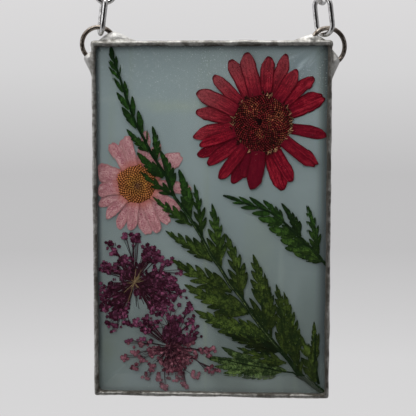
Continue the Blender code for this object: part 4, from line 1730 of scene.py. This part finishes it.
@dataclass
class SolderBorder:
    """The run of solder round the panes, lumpy, with a mound at each loop end."""

    width: float = 104.0
    height: float = 156.0
    window_width: float = 99.0
    front: float = -4.06
    back: float = 5.69
    voxel: float = 0.42
    crest: float = 0.9
    top_run: float = -47.0
    mounds: tuple[Mound, ...] = (
        Mound((-51.55, 70.6, 0.0), LEFT_SIDE_MOUND, True, -1.0),
        Mound((51.55, 69.4, 0.9), RIGHT_SIDE_MOUND, True),
        Mound((-42.0, 77.55, 0.0), TOP_LEFT_MOUND, False),
        Mound((43.4, 77.55, -1.4), TOP_RIGHT_MOUND, False),
    )

    def ring(self) -> bpy.types.Object:
        """Model the plain ring from a cube.

        Returns:
            The ring, in world metres.
        """
        middle = (0.0, (self.front + self.back) / 2.0 * MM, -HANG_V * MM)
        size = (self.width * MM, (self.back - self.front) * MM, self.height * MM)
        deselect()
        bpy.ops.mesh.primitive_cube_add(size=1.0, location=middle, scale=size)
        obj = bpy.context.object
        bpy.ops.object.transform_apply(location=True, rotation=True, scale=True)
        edit_chosen(obj, Part.FACES, [abs(polygon.normal.y) > 0.9 for polygon in obj.data.polygons])
        bpy.ops.mesh.inset(thickness=(self.width - self.window_width) / 2.0 * MM, depth=0.0)
        bpy.ops.mesh.bridge_edge_loops()
        bpy.ops.object.mode_set(mode="OBJECT")
        apply_modifier(obj, "BEVEL", width=1.25 * MM, segments=4, limit_method="ANGLE")
        return obj

    def build(self) -> None:
        """Build the border: ring and mounds, merged and made lumpy."""
        pieces = [self.ring()]
        pieces += [mound.build() for mound in self.mounds]
        border = join(pieces)
        apply_modifier(border, "REMESH", mode="VOXEL", voxel_size=self.voxel * MM)
        apply_modifier(border, "SMOOTH", factor=0.5, iterations=4)
        self.add_lumps(border)
        border.data.shade_smooth()
        material = SOLDER.material()
        settle(border, "solder_run", Body.FRAME, material, "solder", "solder_border")

    def add_lumps(self, border: bpy.types.Object) -> None:
        """Move the surface in and out where the solder ran thick and thin.

        Args:
            border: The border's mesh.
        """
        low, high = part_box("solder_border")
        points = points_of(border)
        normals = np.zeros(len(points) * 3)
        border.data.vertices.foreach_get("normal", normals)
        normals = normals.reshape(-1, 3)
        depth = np.zeros(len(points))
        for index, point in enumerate(points):
            spot = Vector(point)
            long = noise.noise(spot * 90.0) * 0.26
            short = noise.noise(spot * 330.0 + Vector((5.0, 1.0, 2.0))) * 0.13
            pit = noise.noise(spot * 800.0 + Vector((1.0, 7.0, 3.0)))
            depth[index] = long + short - 0.35 * max(0.0, pit - 0.32) / 0.68 - 0.22
            if point[2] > self.top_run * MM:
                depth[index] += 0.25
        points += normals * depth[:, None] * MM
        high = (high[0], high[1], high[2] + self.crest * MM)
        points = np.minimum(np.maximum(points, np.array(low)), np.array(high))
        set_points(border, points)


@dataclass
class WireLoop:
    """An open ring of wire whose two ends stand in mounds of solder."""

    node: str
    centre: Point
    radius: float
    turn: float
    ends: tuple[float, float]
    wire: float = 1.0

    def build(self, material: bpy.types.Material) -> None:
        """Build the loop from a torus with a gap.

        Args:
            material: Its material.
        """
        deselect()
        bpy.ops.mesh.primitive_torus_add(
            major_segments=96, minor_segments=20, major_radius=self.radius, minor_radius=self.wire
        )
        obj = bpy.context.object
        points = points_of(obj)
        angle = np.degrees(np.arctan2(points[:, 1], points[:, 0]))
        start, end = self.ends
        swept = (angle - start) % 360.0 if end > start else (start - angle) % 360.0
        outside = swept > abs(end - start)
        edit_chosen(obj, Part.VERTICES, outside)
        bpy.ops.mesh.delete(type="VERT")
        bpy.ops.mesh.select_all(action="SELECT")
        bpy.ops.mesh.fill_holes(sides=0)
        bpy.ops.object.mode_set(mode="OBJECT")
        points = points_of(obj)
        for index, point in enumerate(points):
            flat = Vector((point[0], point[1], 0.0)).normalized() * self.radius
            off = Vector(point) - flat
            swell = 1.0 + 0.06 * noise.noise(Vector(point) * 0.5)
            points[index] = flat + off * min(1.0, swell)
        set_points(obj, points)
        stand = Matrix.Rotation(math.radians(90.0), 4, "X")
        turn = Matrix.Rotation(math.radians(self.turn), 4, "Z")
        place = Matrix.Translation((self.centre[0] * MM, 0.0, (self.centre[1] - HANG_V) * MM))
        obj.data.transform(place @ turn @ stand @ Matrix.Diagonal((MM, MM, MM, 1.0)))
        clean(obj, 0.000001)
        keep_inside(obj, self.node)
        obj.data.shade_smooth()
        settle(obj, f"wire_{self.node}", Body.FRAME, material, "loop_wire", self.node)


@dataclass
class Chain:
    """A short chain of oval links that rises from a wire loop."""

    side: str
    loop_centre: Point
    loop_radius: float
    loop_turn: float
    hand: float
    turns: tuple[float, ...]
    length: float = 18.2
    width: float = 10.6
    wire: float = 1.1
    drop: float = 2.65
    gap: float = 0.35
    lean: float = 7.0
    loop_lean: float = 8.0

    def link_shape(self) -> bpy.types.Object:
        """Model one oval link, standing on its lowest point.

        Returns:
            The link, in millimetres.
        """
        bend = self.width / 2.0 - self.wire
        deselect()
        bpy.ops.mesh.primitive_torus_add(
            major_segments=72, minor_segments=24, major_radius=bend, minor_radius=self.wire,
            rotation=(math.pi / 2, 0.0, 0.0),
        )
        obj = bpy.context.object
        bpy.ops.object.transform_apply(location=True, rotation=True, scale=True)
        edit_chosen(obj, Part.VERTICES, [vertex.co.z > 0.01 for vertex in obj.data.vertices])
        bpy.ops.transform.translate(value=(0.0, 0.0, self.length - self.width))
        bpy.ops.object.mode_set(mode="OBJECT")
        points = points_of(obj)
        points[:, 2] += bend
        set_points(obj, points)
        return obj

    def build(self, material: bpy.types.Material) -> None:
        """Build the links, each with its own mesh.

        Args:
            material: Their material.
        """
        angle = math.radians(90.0 + self.hand * self.loop_lean)
        top = Vector((math.cos(angle), 0.0, math.sin(angle))) * self.loop_radius
        turn = Matrix.Rotation(math.radians(self.loop_turn), 4, "Z")
        middle = Vector((self.loop_centre[0], 0.0, self.loop_centre[1] - HANG_V))
        contact = middle + turn @ top
        tilt = Matrix.Rotation(math.radians(-self.hand * self.lean), 4, "Y")
        pitch = self.length - 4.0 * self.wire - self.gap
        shape = self.link_shape()
        for index, link_turn in enumerate(self.turns):
            bottom = contact + Vector((0.0, 0.0, -self.drop)) + tilt @ Vector((0.0, 0.0, pitch * index))
            link = shape.copy()
            link.data = shape.data.copy()
            bpy.context.scene.collection.objects.link(link)
            spin = Matrix.Rotation(math.radians(link_turn - 90.0), 4, "Z")
            scale = Matrix.Diagonal((MM, MM, MM, 1.0))
            link.data.transform(scale @ Matrix.Translation(bottom) @ tilt @ spin)
            node = f"{self.side}_link_{index + 1}"
            keep_inside(link, node)
            link.data.shade_smooth()
            settle(link, f"steel_{node}", Body.CHAINS, material, "chain_steel", node)
        discard(shape)


@dataclass
class Panes:
    """The two panes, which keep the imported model's own shapes."""

    front: str = "front_glass"
    back: str = "back_glass"

    def dress(self) -> None:
        """Give each pane its glass."""
        for name, finish in ((self.front, CLEAR_GLASS), (self.back, WISPY_GLASS)):
            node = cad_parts[name]
            material = finish.material()
            node.data.materials.clear()
            node.data.materials.append(material)
            LOG.info("%s: %d faces", name, len(node.data.polygons))
        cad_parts[self.front].visible_shadow = False


@dataclass(frozen=True)
class Lamp:
    """A soft square lamp."""

    name: str
    place: tuple[float, float, float]
    size: float
    power: float
    tone: Colour
    in_gloss: bool = True


@dataclass
class Studio:
    """A pale seamless bowl that glows, soft lamps and the camera."""

    radius: float = 2.4
    floor: float = -1.1
    rim: float = 2.2
    camera_place: tuple[float, float, float] = (0.0282, -0.4848, -0.0706)
    camera_pitch: float = 84.56
    camera_yaw: float = 3.5
    lens: float = 96.7
    lamps: tuple[Lamp, ...] = (
        Lamp("overhead", (-0.25, -0.35, 1.1), 0.9, 7.5, (1.0, 0.99, 0.97)),
        Lamp("front_fill", (-0.15, -1.25, 0.35), 0.9, 13.0, (0.98, 0.99, 1.0), False),
        Lamp("side", (-1.0, -0.75, 0.35), 0.6, 1.5, (1.0, 1.0, 1.0)),
    )

    def bowl(self) -> None:
        """Model the bowl by spinning its section."""
        curve = 0.8
        section = [(0.0, self.floor)]
        for step in range(13):
            turn = math.radians(-90.0 + step * 7.5)
            section.append(
                (
                    self.radius - curve + curve * math.cos(turn),
                    self.floor + curve + curve * math.sin(turn),
                )
            )
        section += [(self.radius, self.rim)]
        mesh = bpy.data.meshes.new("studio_bowl")
        points = [(x, 0.0, z) for x, z in section]
        mesh.from_pydata(points, [(n, n + 1) for n in range(len(points) - 1)], [])
        obj = add_object("studio_bowl", mesh)
        select_only(obj)
        bpy.ops.object.mode_set(mode="EDIT")
        bpy.ops.mesh.select_all(action="SELECT")
        bpy.ops.mesh.spin(steps=72, angle=2.0 * math.pi, center=(0, 0, 0), axis=(0, 0, 1))
        bpy.ops.mesh.select_all(action="SELECT")
        bpy.ops.mesh.remove_doubles(threshold=0.0001)
        bpy.ops.mesh.normals_make_consistent(inside=True)
        bpy.ops.object.mode_set(mode="OBJECT")
        obj.data.shade_smooth()
        obj.data.materials.append(self.paper())
        obj.visible_glossy = False

    def paper(self) -> bpy.types.Material:
        """Build the bowl's paper as a glowing surface that lights the frame softly all round, with
        painted shade that makes it dimmer at its bend.

        Returns:
            The material.
        """
        material, graph, shader = start_material("studio_glowing_paper")
        spot = graph.spot()
        axes = graph.axes(spot)
        heights = {"Value": axes[2], "From Min": -0.95, "From Max": 0.25}
        height = graph.node("ShaderNodeMapRange", heights)
        # Painted shade: the glowing paper is dimmer around its bend.
        tones = (
            (0.0, (0.69, 0.685, 0.69)), (0.2, (0.665, 0.66, 0.665)), (0.30, (0.60, 0.595, 0.60)),
            (0.42, (0.525, 0.52, 0.525)), (0.58, (0.52, 0.515, 0.52)), (0.80, (0.66, 0.655, 0.66)),
            (1.0, (0.725, 0.715, 0.72)),
        )
        colour = graph.ramp(height.outputs[0], tones)
        emission = graph.node("ShaderNodeEmission", {"Color": colour, "Strength": 1.0})
        output = material.node_tree.nodes["Material Output"]
        graph.tree.links.new(emission.outputs[0], output.inputs["Surface"])
        graph.tree.nodes.remove(shader)
        return material

    def dark_card(self) -> None:
        """Stand a black card behind the camera, so that the front pane stays clear."""
        deselect()
        bpy.ops.mesh.primitive_plane_add(
            size=2.6, location=(0.0, -1.35, -0.1), rotation=(math.pi / 2.0, 0.0, 0.0)
        )
        card = bpy.context.object
        card.name = "black_card"
        material, graph, shader = start_material("black_card")
        feed(graph, shader, Base_Color=(0.004, 0.004, 0.004), Roughness=1.0)
        card.data.materials.append(material)
        card.visible_camera = False
        card.visible_diffuse = False
        card.visible_shadow = False

    def sky(self) -> None:
        """Build the surroundings that metal and glass reflect."""
        world = bpy.data.worlds.new("studio_room")
        bpy.context.scene.world = world
        world.use_nodes = True
        graph = Graph(world.node_tree)
        way = graph.node("ShaderNodeTexCoord").outputs["Generated"]
        axes = graph.axes(way)
        up = graph.span(axes[2], -0.6, 0.7)
        level = graph.ramp(up, ((0.0, 0.40), (0.45, 0.22), (0.78, 0.75), (1.0, 1.3)))
        left = graph.span(axes[0], -0.25, -0.85)
        level = graph.mix(left, level, (0.64, 0.64, 0.66))
        right = graph.span(axes[0], 0.3, 0.85)
        level = graph.mix(right, level, (0.34, 0.34, 0.35))
        front = graph.sum("SUBTRACT", 1.0, graph.span(axes[1], -0.93, -0.72))
        level = graph.mix(graph.times(front, 0.97), level, (0.02, 0.02, 0.02))
        background = world.node_tree.nodes["Background"]
        graph.tree.links.new(level, background.inputs["Color"])
        background.inputs["Strength"].default_value = 1.0

    def lamp(self, lamp: Lamp) -> None:
        """Add a soft lamp that faces the frame.

        Args:
            lamp: The lamp.
        """
        light = bpy.data.lights.new(lamp.name, "AREA")
        light.shape = "SQUARE"
        light.size = lamp.size
        light.energy = lamp.power
        light.color = lamp.tone
        obj = add_object(lamp.name, light)
        obj.location = lamp.place
        aim = Vector((0.0, 0.0, -0.12)) - Vector(lamp.place)
        obj.rotation_euler = aim.to_track_quat("-Z", "Y").to_euler()
        obj.visible_glossy = lamp.in_gloss
        obj.visible_transmission = lamp.in_gloss

    def camera(self) -> None:
        """Place the camera as the photograph was taken."""
        data = bpy.data.cameras.new("camera")
        data.lens = self.lens
        data.sensor_width = 36.0
        obj = add_object("camera", data)
        obj.location = self.camera_place
        obj.rotation_euler = (math.radians(self.camera_pitch), 0.0, math.radians(self.camera_yaw))
        bpy.context.scene.camera = obj

    def build(self) -> None:
        """Build the studio."""
        self.bowl()
        self.dark_card()
        self.sky()
        for lamp in self.lamps:
            self.lamp(lamp)
        self.camera()
        bpy.context.scene.view_settings.view_transform = "Standard"


def petal_row(rows: tuple, tips: dict[int, Tip], tones: dict[int, float], cuts: dict) -> tuple:
    """Turn rows of angle, reach and width into petals.

    Args:
        rows: Angle, reach, width and bend of each petal.
        tips: The petals that don't end round, by their place in the row.
        tones: The faded petals, by their place in the row.
        cuts: The petals that the border cuts off, by their place in the row.

    Returns:
        The petals.
    """
    return tuple(
        Petal(
            *row, tip=tips.get(index, Tip.ROUND), tone=tones.get(index, 0.0), cut=cuts.get(index)
        )
        for index, row in enumerate(rows)
    )


RED_ROWS = (
    (23.6, 29.0, 8.0, 0.3), (41.8, 29.5, 5.4, 0.4), (56.2, 27.7, 6.6, -0.2), (70.5, 31.1, 5.8, -0.4),
    (83.7, 28.5, 6.2, 0.0), (102.5, 30.9, 7.0, 0.4), (116.1, 30.1, 6.0, 0.4),
    (135.8, 29.4, 5.6, 0.2), (153.9, 31.2, 7.2, -0.3), (169.5, 29.1, 6.6, 0.2),
    (189.3, 30.4, 6.6, 0.5), (199.3, 28.7, 4.8, 0.2), (207.2, 31.3, 5.0, 0.0),
    (217.0, 29.6, 5.8, 0.2), (233.1, 30.3, 5.4, 0.2), (244.6, 29.1, 6.8, -0.2),
    (251.3, 24.9, 6.4, 0.0), (263.3, 29.0, 7.3, 0.0), (288.1, 30.5, 7.8, 0.2),
    (297.0, 28.4, 5.8, 0.3), (323.0, 29.9, 6.4, -0.6), (350.2, 28.2, 5.4, 0.0),
)
RED_TIPS = {0: Tip.NOTCHED, 17: Tip.BLUNT, 21: Tip.BLUNT, 20: Tip.NOTCHED}
RED_TONES = {
    0: -0.1, 1: 0.05, 2: 0.2, 3: 0.5, 4: 0.3, 5: 0.65, 6: 0.65, 7: 0.7, 8: 0.75, 9: 0.35, 10: 0.2,
    12: -0.35, 13: -0.35, 14: -0.3, 15: -0.65, 16: -0.75, 17: -0.8, 18: -0.05, 19: -0.3, 20: -0.35,
    21: -0.5,
}
PINK_ROWS = (
    (33.7, 23.6, 7.6, 0.0), (59.3, 20.8, 4.8, 0.0), (79.0, 23.7, 4.8, 0.0), (101.7, 21.7, 4.8, 0.0),
    (109.0, 20.6, 4.8, 0.0), (121.3, 21.0, 5.0, 0.0), (162.2, 19.6, 8.8, 0.0),
    (189.3, 18.6, 6.4, 0.0), (210.0, 19.0, 5.4, 0.0), (228.4, 20.0, 4.6, 0.0),
    (247.5, 21.4, 4.8, 0.0), (262.4, 20.5, 4.8, 0.0), (282.8, 23.0, 7.0, 0.0),
    (295.0, 23.2, 5.0, 0.0), (309.4, 22.5, 6.2, 0.0), (330.3, 22.0, 5.2, 0.0),
    (356.2, 24.2, 5.4, 0.0),
)
PINK_TIPS = {
    0: Tip.NOTCHED, 3: Tip.BLUNT, 5: Tip.NOTCHED, 6: Tip.BLUNT, 10: Tip.BLUNT, 12: Tip.NOTCHED,
    13: Tip.BLUNT, 14: Tip.NOTCHED, 15: Tip.BLUNT,
}
PINK_TONES = {0: 0.6, 2: 0.5, 3: 0.3, 12: 0.25, 16: 0.5, 14: 0.2}

UPPER_UMBELLETS = (
    ((-44.5, -10.5), (-41.4, -13.4), (-38.7, -16.8)),
    ((-37.9, -7.6), (-33.2, -7.8), (-36.2, -17.0)),
    ((-27.8, -12.6), (-24.9, -14.7), (-22.8, -16.8)),
    ((-25.3, -21.8), (-22.0, -23.8)),
    ((-17.8, -18.0), (-21.2, -19.3), (-13.7, -22.2)),
    ((-17.4, -25.5), (-15.3, -28.8), (-25.3, -28.8)),
    ((-13.0, -32.2),),
    ((-24.5, -34.7), (-22.0, -37.2), (-26.2, -38.8), (-18.7, -36.8)),
    ((-32.4, -33.0),),
    ((-37.4, -45.5), (-42.0, -47.6), (-44.9, -46.8)),
    ((-39.1, -42.6), (-43.7, -42.2), (-46.2, -38.8)),
    ((-47.4, -33.8), (-47.0, -30.1)),
    ((-44.9, -22.6), (-47.0, -20.5), (-39.0, -23.8)),
)
LOWER_UMBELLETS = (
    ((-34.0, -44.7), (-28.7, -43.8), (-28.4, -48.0)),
    ((-23.3, -45.1), (-19.5, -41.3), (-17.0, -38.8), (-17.2, -43.0)),
    ((-9.3, -37.2), (-10.8, -40.1)),
    ((-9.5, -43.4), (-12.0, -45.5), (-7.8, -46.8), (-15.8, -46.8)),
    ((-7.0, -51.3), (-9.9, -53.8)),
    ((-3.7, -57.2), (0.1, -57.6)),
    ((-1.2, -65.5), (2.2, -66.3)),
    ((-6.8, -69.4), (-11.2, -73.0)),
    ((-20.8, -73.0), (-23.3, -69.7)),
    ((-27.0, -65.1), (-28.3, -69.3)),
    ((-31.2, -62.2), (-34.1, -65.1), (-38.3, -61.8)),
    ((-33.3, -58.8),),
    ((-27.8, -53.8), (-31.6, -54.3), (-36.6, -54.3)),
    ((-24.9, -58.0),),
)
TAN_RAYS = (
    ((-33.9, -27.6), (-38.6, -32.0)), ((-33.9, -27.6), (-37.0, -36.5)),
    ((-33.9, -27.6), (-33.2, -21.5)), ((-33.9, -27.6), (-30.8, -21.8)),
)

LONG_MIDRIB = (
    (49.2, -75.4), (44.6, -71.8), (38.0, -66.4), (34.0, -60.8), (28.4, -54.4), (23.2, -48.0),
    (18.0, -41.0), (13.4, -33.8), (8.0, -27.2), (3.8, -20.1), (0.1, -15.1), (-4.5, -6.3),
    (-9.9, 2.4), (-15.8, 10.3), (-19.4, 19.3), (-25.9, 29.3), (-29.4, 36.3), (-32.9, 42.8),
    (-36.3, 52.3), (-39.0, 60.6), (-41.3, 67.1), (-43.7, 74.7),
)
LONG_LEAFLETS = (
    ((-40.9, 66.4), (-41.3, 71.1), 0.55, 0.6, -0.3), ((-39.6, 63.5), (-39.3, 67.2), 0.3, 0.35),
    ((-36.6, 52.5), (-37.7, 60.7), 0.8, 1.0, -0.5), ((-33.8, 45.6), (-34.4, 54.1), 0.9, 1.1, -0.4),
    ((-30.2, 38.4), (-31.9, 47.9), 1.0, 1.4, -0.6), ((-27.9, 34.4), (-27.9, 39.6), 0.35, 0.4),
    ((-24.0, 26.6), (-25.6, 41.2), 1.6, 1.5, -1.0),
    ((-17.4, 13.6), (-22.4, 30.7), 1.8, 2.0, -1.4, 0.8),
    ((-9.4, 1.6), (-14.2, 22.4), 2.4, 2.0, -1.3), ((-4.0, -8.0), (-7.5, 16.0), 2.9, 2.4, -0.9),
    ((4.0, -20.4), (0.2, 7.5), 4.9, 2.7, -1.2), ((13.8, -34.2), (6.3, -5.7), 4.4, 3.0, -1.8),
    ((24.4, -48.6), (18.2, -14.7), 6.0, 3.0, -2.0, 1.1),
    ((26.4, -51.6), (23.2, -22.8), 2.4, 2.6, -1.0, 0.6),
    ((33.0, -58.6), (28.3, -27.7), 4.0, 2.8, -1.6, 1.0),
    ((37.0, -64.0), (31.7, -31.0), 3.6, 2.6, -1.8, 0.95),
    ((45.6, -70.6), (38.2, -48.7), 3.8, 2.0, -1.4, 0.95),
    ((40.0, -68.0), (34.5, -49.5), 2.4, 2.2, 0.0, 0.45),
    ((-42.6, 69.8), (-43.7, 75.2), 1.0, 1.0, 0.0, 0.5), ((-42.0, 68.4), (-44.4, 72.2), 0.5, 0.5),
    ((-41.0, 65.2), (-44.0, 69.2), 0.6, 0.6), ((-40.0, 61.8), (-44.0, 66.8), 0.6, 0.6),
    ((-38.2, 56.0), (-42.2, 61.9), 0.8, 0.8), ((-35.6, 48.6), (-41.1, 55.7), 1.1, 1.0, 0.3),
    ((-32.4, 40.6), (-38.9, 49.3), 1.3, 1.3, 0.4), ((-27.2, 30.4), (-36.8, 39.8), 1.5, 1.6, 0.5),
    ((-20.8, 19.2), (-32.3, 29.7), 1.9, 2.2, 0.6),
    ((-16.4, 11.0), (-31.2, 21.6), 2.1, 2.5, 0.6, 0.8), ((-8.4, -2.0), (-25.4, 10.4), 1.9, 3.1, 0.8),
    ((0.6, -17.6), (-19.9, -4.5), 1.7, 4.7, 0.6), ((9.0, -31.0), (-17.0, -17.3), 3.8, 5.0, 1.2),
    ((16.5, -40.4), (-11.7, -28.3), 4.6, 5.0, 1.0, 1.1),
    ((26.4, -52.4), (-7.2, -39.7), 4.8, 4.8, 1.0, 1.15),
    ((33.0, -62.5), (11.4, -55.9), 2.8, 2.6, 0.3, 0.9),
    ((31.0, -57.4), (6.6, -49.7), 3.0, 3.2, 0.4, 0.13),
)
LOWER_LEAF_MIDRIB = (
    (40.4, -69.6), (36.0, -66.9), (30.0, -66.3), (25.0, -65.2), (15.0, -63.6), (6.0, -61.5),
    (-1.5, -61.0),
)
LOWER_LEAF_LEAFLETS = (
    ((31.0, -66.4), (4.6, -56.2), 2.6, 1.5, 0.8, 1.7),
    ((30.0, -66.2), (-2.4, -60.6), 2.6, 1.8, 0.0, 1.7),
    ((24.0, -65.4), (1.6, -64.8), 1.9, 1.6, 0.0, 1.8),
    ((22.0, -65.0), (5.4, -67.8), 1.6, 1.6, 0.4, 1.9),
    ((31.0, -66.4), (13.6, -69.0), 1.5, 1.3, 0.3, 1.9),
    ((33.0, -66.4), (14.0, -58.8), 1.8, 1.4, 0.8, 1.9),
)
SPRIG_MIDRIB = ((46.9, -72.0), (46.0, -68.0), (45.3, -62.0), (45.1, -56.0), (45.0, -50.0))
SPRIG_LEAFLETS = (
    ((45.2, -64.0), (44.4, -44.2), 1.5, 1.5, 0.0, 0.75),
    ((45.4, -60.0), (46.6, -49.4), 0.8, 0.8, 0.0, 0.65),
)
SMALL_MIDRIB = (
    (50.2, -19.2), (47.0, -16.0), (43.5, -12.0), (40.0, -8.5), (36.5, -5.0), (33.0, -1.5),
    (29.5, 1.5), (25.0, 4.5), (20.0, 6.2), (15.0, 7.8), (10.0, 9.8), (5.2, 11.2),
)
SMALL_LEAFLETS = (
    ((18.5, 6.8), (12.0, 10.6), 0.8, 0.8), ((24.6, 4.6), (16.6, 10.4), 1.0, 1.0, 0.2),
    ((31.4, 0.0), (22.5, 9.1), 1.7, 1.6, -0.6), ((38.8, -6.6), (30.5, 7.8), 1.5, 1.7, -1.0, 0.45),
    ((46.2, -14.0), (41.3, 6.9), 3.0, 2.1, -0.8), ((15.0, 8.0), (9.2, 7.9), 0.7, 0.6),
    ((20.0, 6.0), (13.0, 5.8), 0.9, 0.9), ((25.5, 3.6), (17.8, 3.3), 1.2, 1.1),
    ((31.0, -0.4), (20.5, 1.3), 2.4, 2.1), ((37.0, -5.6), (25.1, -3.3), 2.5, 2.7),
    ((42.0, -10.6), (30.2, -8.3), 2.5, 2.7), ((44.0, -12.6), (32.2, -11.8), 2.0, 2.5),
    ((48.0, -17.0), (36.2, -14.1), 1.7, 2.5), ((12.6, 9.0), (5.2, 11.2), 0.8, 0.8, 0.0, 0.7),
)
UPPER_MASSES = (
    ((-21.0, -30.0), 6.8, 165, 0.85), ((-27.0, -26.5), 4.8, 70, 0.45),
    ((-42.5, -37.5), 6.4, 120, 0.85), ((-41.0, -31.0), 5.0, 62, 0.55),
    ((-46.0, -21.5), 2.8, 26, 0.9), ((-38.0, -20.5), 4.4, 52, 0.65), ((-26.5, -15.5), 4.0, 46, 0.95),
    ((-33.5, -8.5), 3.0, 20, 0.95), ((-23.5, -38.0), 4.2, 52, 0.95), ((-33.5, -21.0), 3.2, 26, 0.5),
    ((-37.0, -24.0), 2.0, 16, 0.3), ((-30.0, -30.5), 2.8, 22, 0.35),
)
LOWER_MASSES = (
    ((-17.0, -50.0), 4.4, 66, 0.65), ((-29.0, -46.0), 3.8, 34, 0.95),
    ((-10.0, -52.5), 3.0, 30, 0.75), ((-17.0, -60.5), 6.4, 100, 1.0), ((-10.0, -60.0), 3.8, 34, 1.0),
    ((-16.0, -66.0), 5.0, 44, 1.0), ((-25.0, -58.5), 3.0, 20, 1.0), ((-16.5, -54.5), 2.4, 20, 0.35),
    ((-15.5, -44.5), 3.0, 18, 0.9),
)


def leaflets_from(rows: tuple) -> tuple[Leaflet, ...]:
    """Turn rows of base, tip and width into leaflets."""
    return tuple(Leaflet(*row) for row in rows)


def build_daisies() -> None:
    """Build both daisies."""
    red = RedDaisy(
        "red_petal", "red_daisy_disc", (21.8, 42.5), 13.2, 1.35, 3,
        petal_row(RED_ROWS, RED_TIPS, RED_TONES, {}), RED_PETAL, RED_DISC,
        "red_petal", "red_disc", 0.90, 0.84, 0.93,
    )
    red.build()
    pink = PinkDaisy(
        "pink_petal", "pink_daisy_disc", (-32.6, 15.9), 9.3, 0.8, 2,
        petal_row(PINK_ROWS, PINK_TIPS, PINK_TONES, {6: -49.4, 7: -49.4}), PINK_PETAL, PINK_DISC,
        "pink_petal", "pink_disc", 0.98, 0.97, 0.98,
    )
    pink.build()


def build_plants() -> None:
    """Build the umbels and the fronds."""
    purple = UMBEL.material()
    Umbel(
        "upper_umbel", (-33.9, -27.6), UPPER_UMBELLETS, 0.25, 11,
        loose_rays=TAN_RAYS, masses=UPPER_MASSES, tan_count=16, dark_count=30,
    ).build(purple)
    Umbel(
        "lower_umbel", (-18.2, -56.0), LOWER_UMBELLETS, 0.8, 12,
        pale_below=-54.0, masses=LOWER_MASSES,
    ).build(purple)
    green = FROND.material()
    Frond(
        "long_frond", LONG_MIDRIB, leaflets_from(LONG_LEAFLETS), 1.35, 21, 2.0, 0.40, True
    ).build(green)
    Frond(
        "long_frond_lower_leaf", LOWER_LEAF_MIDRIB, leaflets_from(LOWER_LEAF_LEAFLETS), 0.25, 22, 0.6,
        blue=1.7,
    ).build(green)
    Frond(
        "long_frond_side_sprig", SPRIG_MIDRIB, leaflets_from(SPRIG_LEAFLETS), 0.25, 23, 1.2
    ).build(green)
    Frond(
        "small_frond", SMALL_MIDRIB, leaflets_from(SMALL_LEAFLETS), 0.8, 24, 1.3, 0.40,
        slim=0.46, red=0.82,
    ).build(green)


def build_metal() -> None:
    """Build the border, the loops and the chains."""
    SolderBorder().build()
    wire = LOOP_WIRE.material()
    WireLoop("left_loop", (-49.0, 76.8), 7.15, 0.0, (8.5, 238.0)).build(wire)
    WireLoop("right_loop", (49.95, 75.4), 7.75, 20.0, (161.0, -68.0)).build(wire)
    steel = CHAIN_STEEL.material()
    Chain("left", (-49.0, 76.8), 7.15, 0.0, -1.0, (17.0, 107.0, 180.0)).build(steel)
    Chain("right", (49.95, 75.4), 7.75, 20.0, 1.0, (50.0, 155.0, 90.0)).build(steel)


def main() -> None:
    """Build every piece, then the studio."""
    logging.basicConfig(level=logging.INFO, format="%(name)s: %(message)s")
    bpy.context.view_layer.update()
    Panes().dress()
    build_metal()
    build_daisies()
    build_plants()
    Studio().build()


if __name__ == "__main__":
    main()
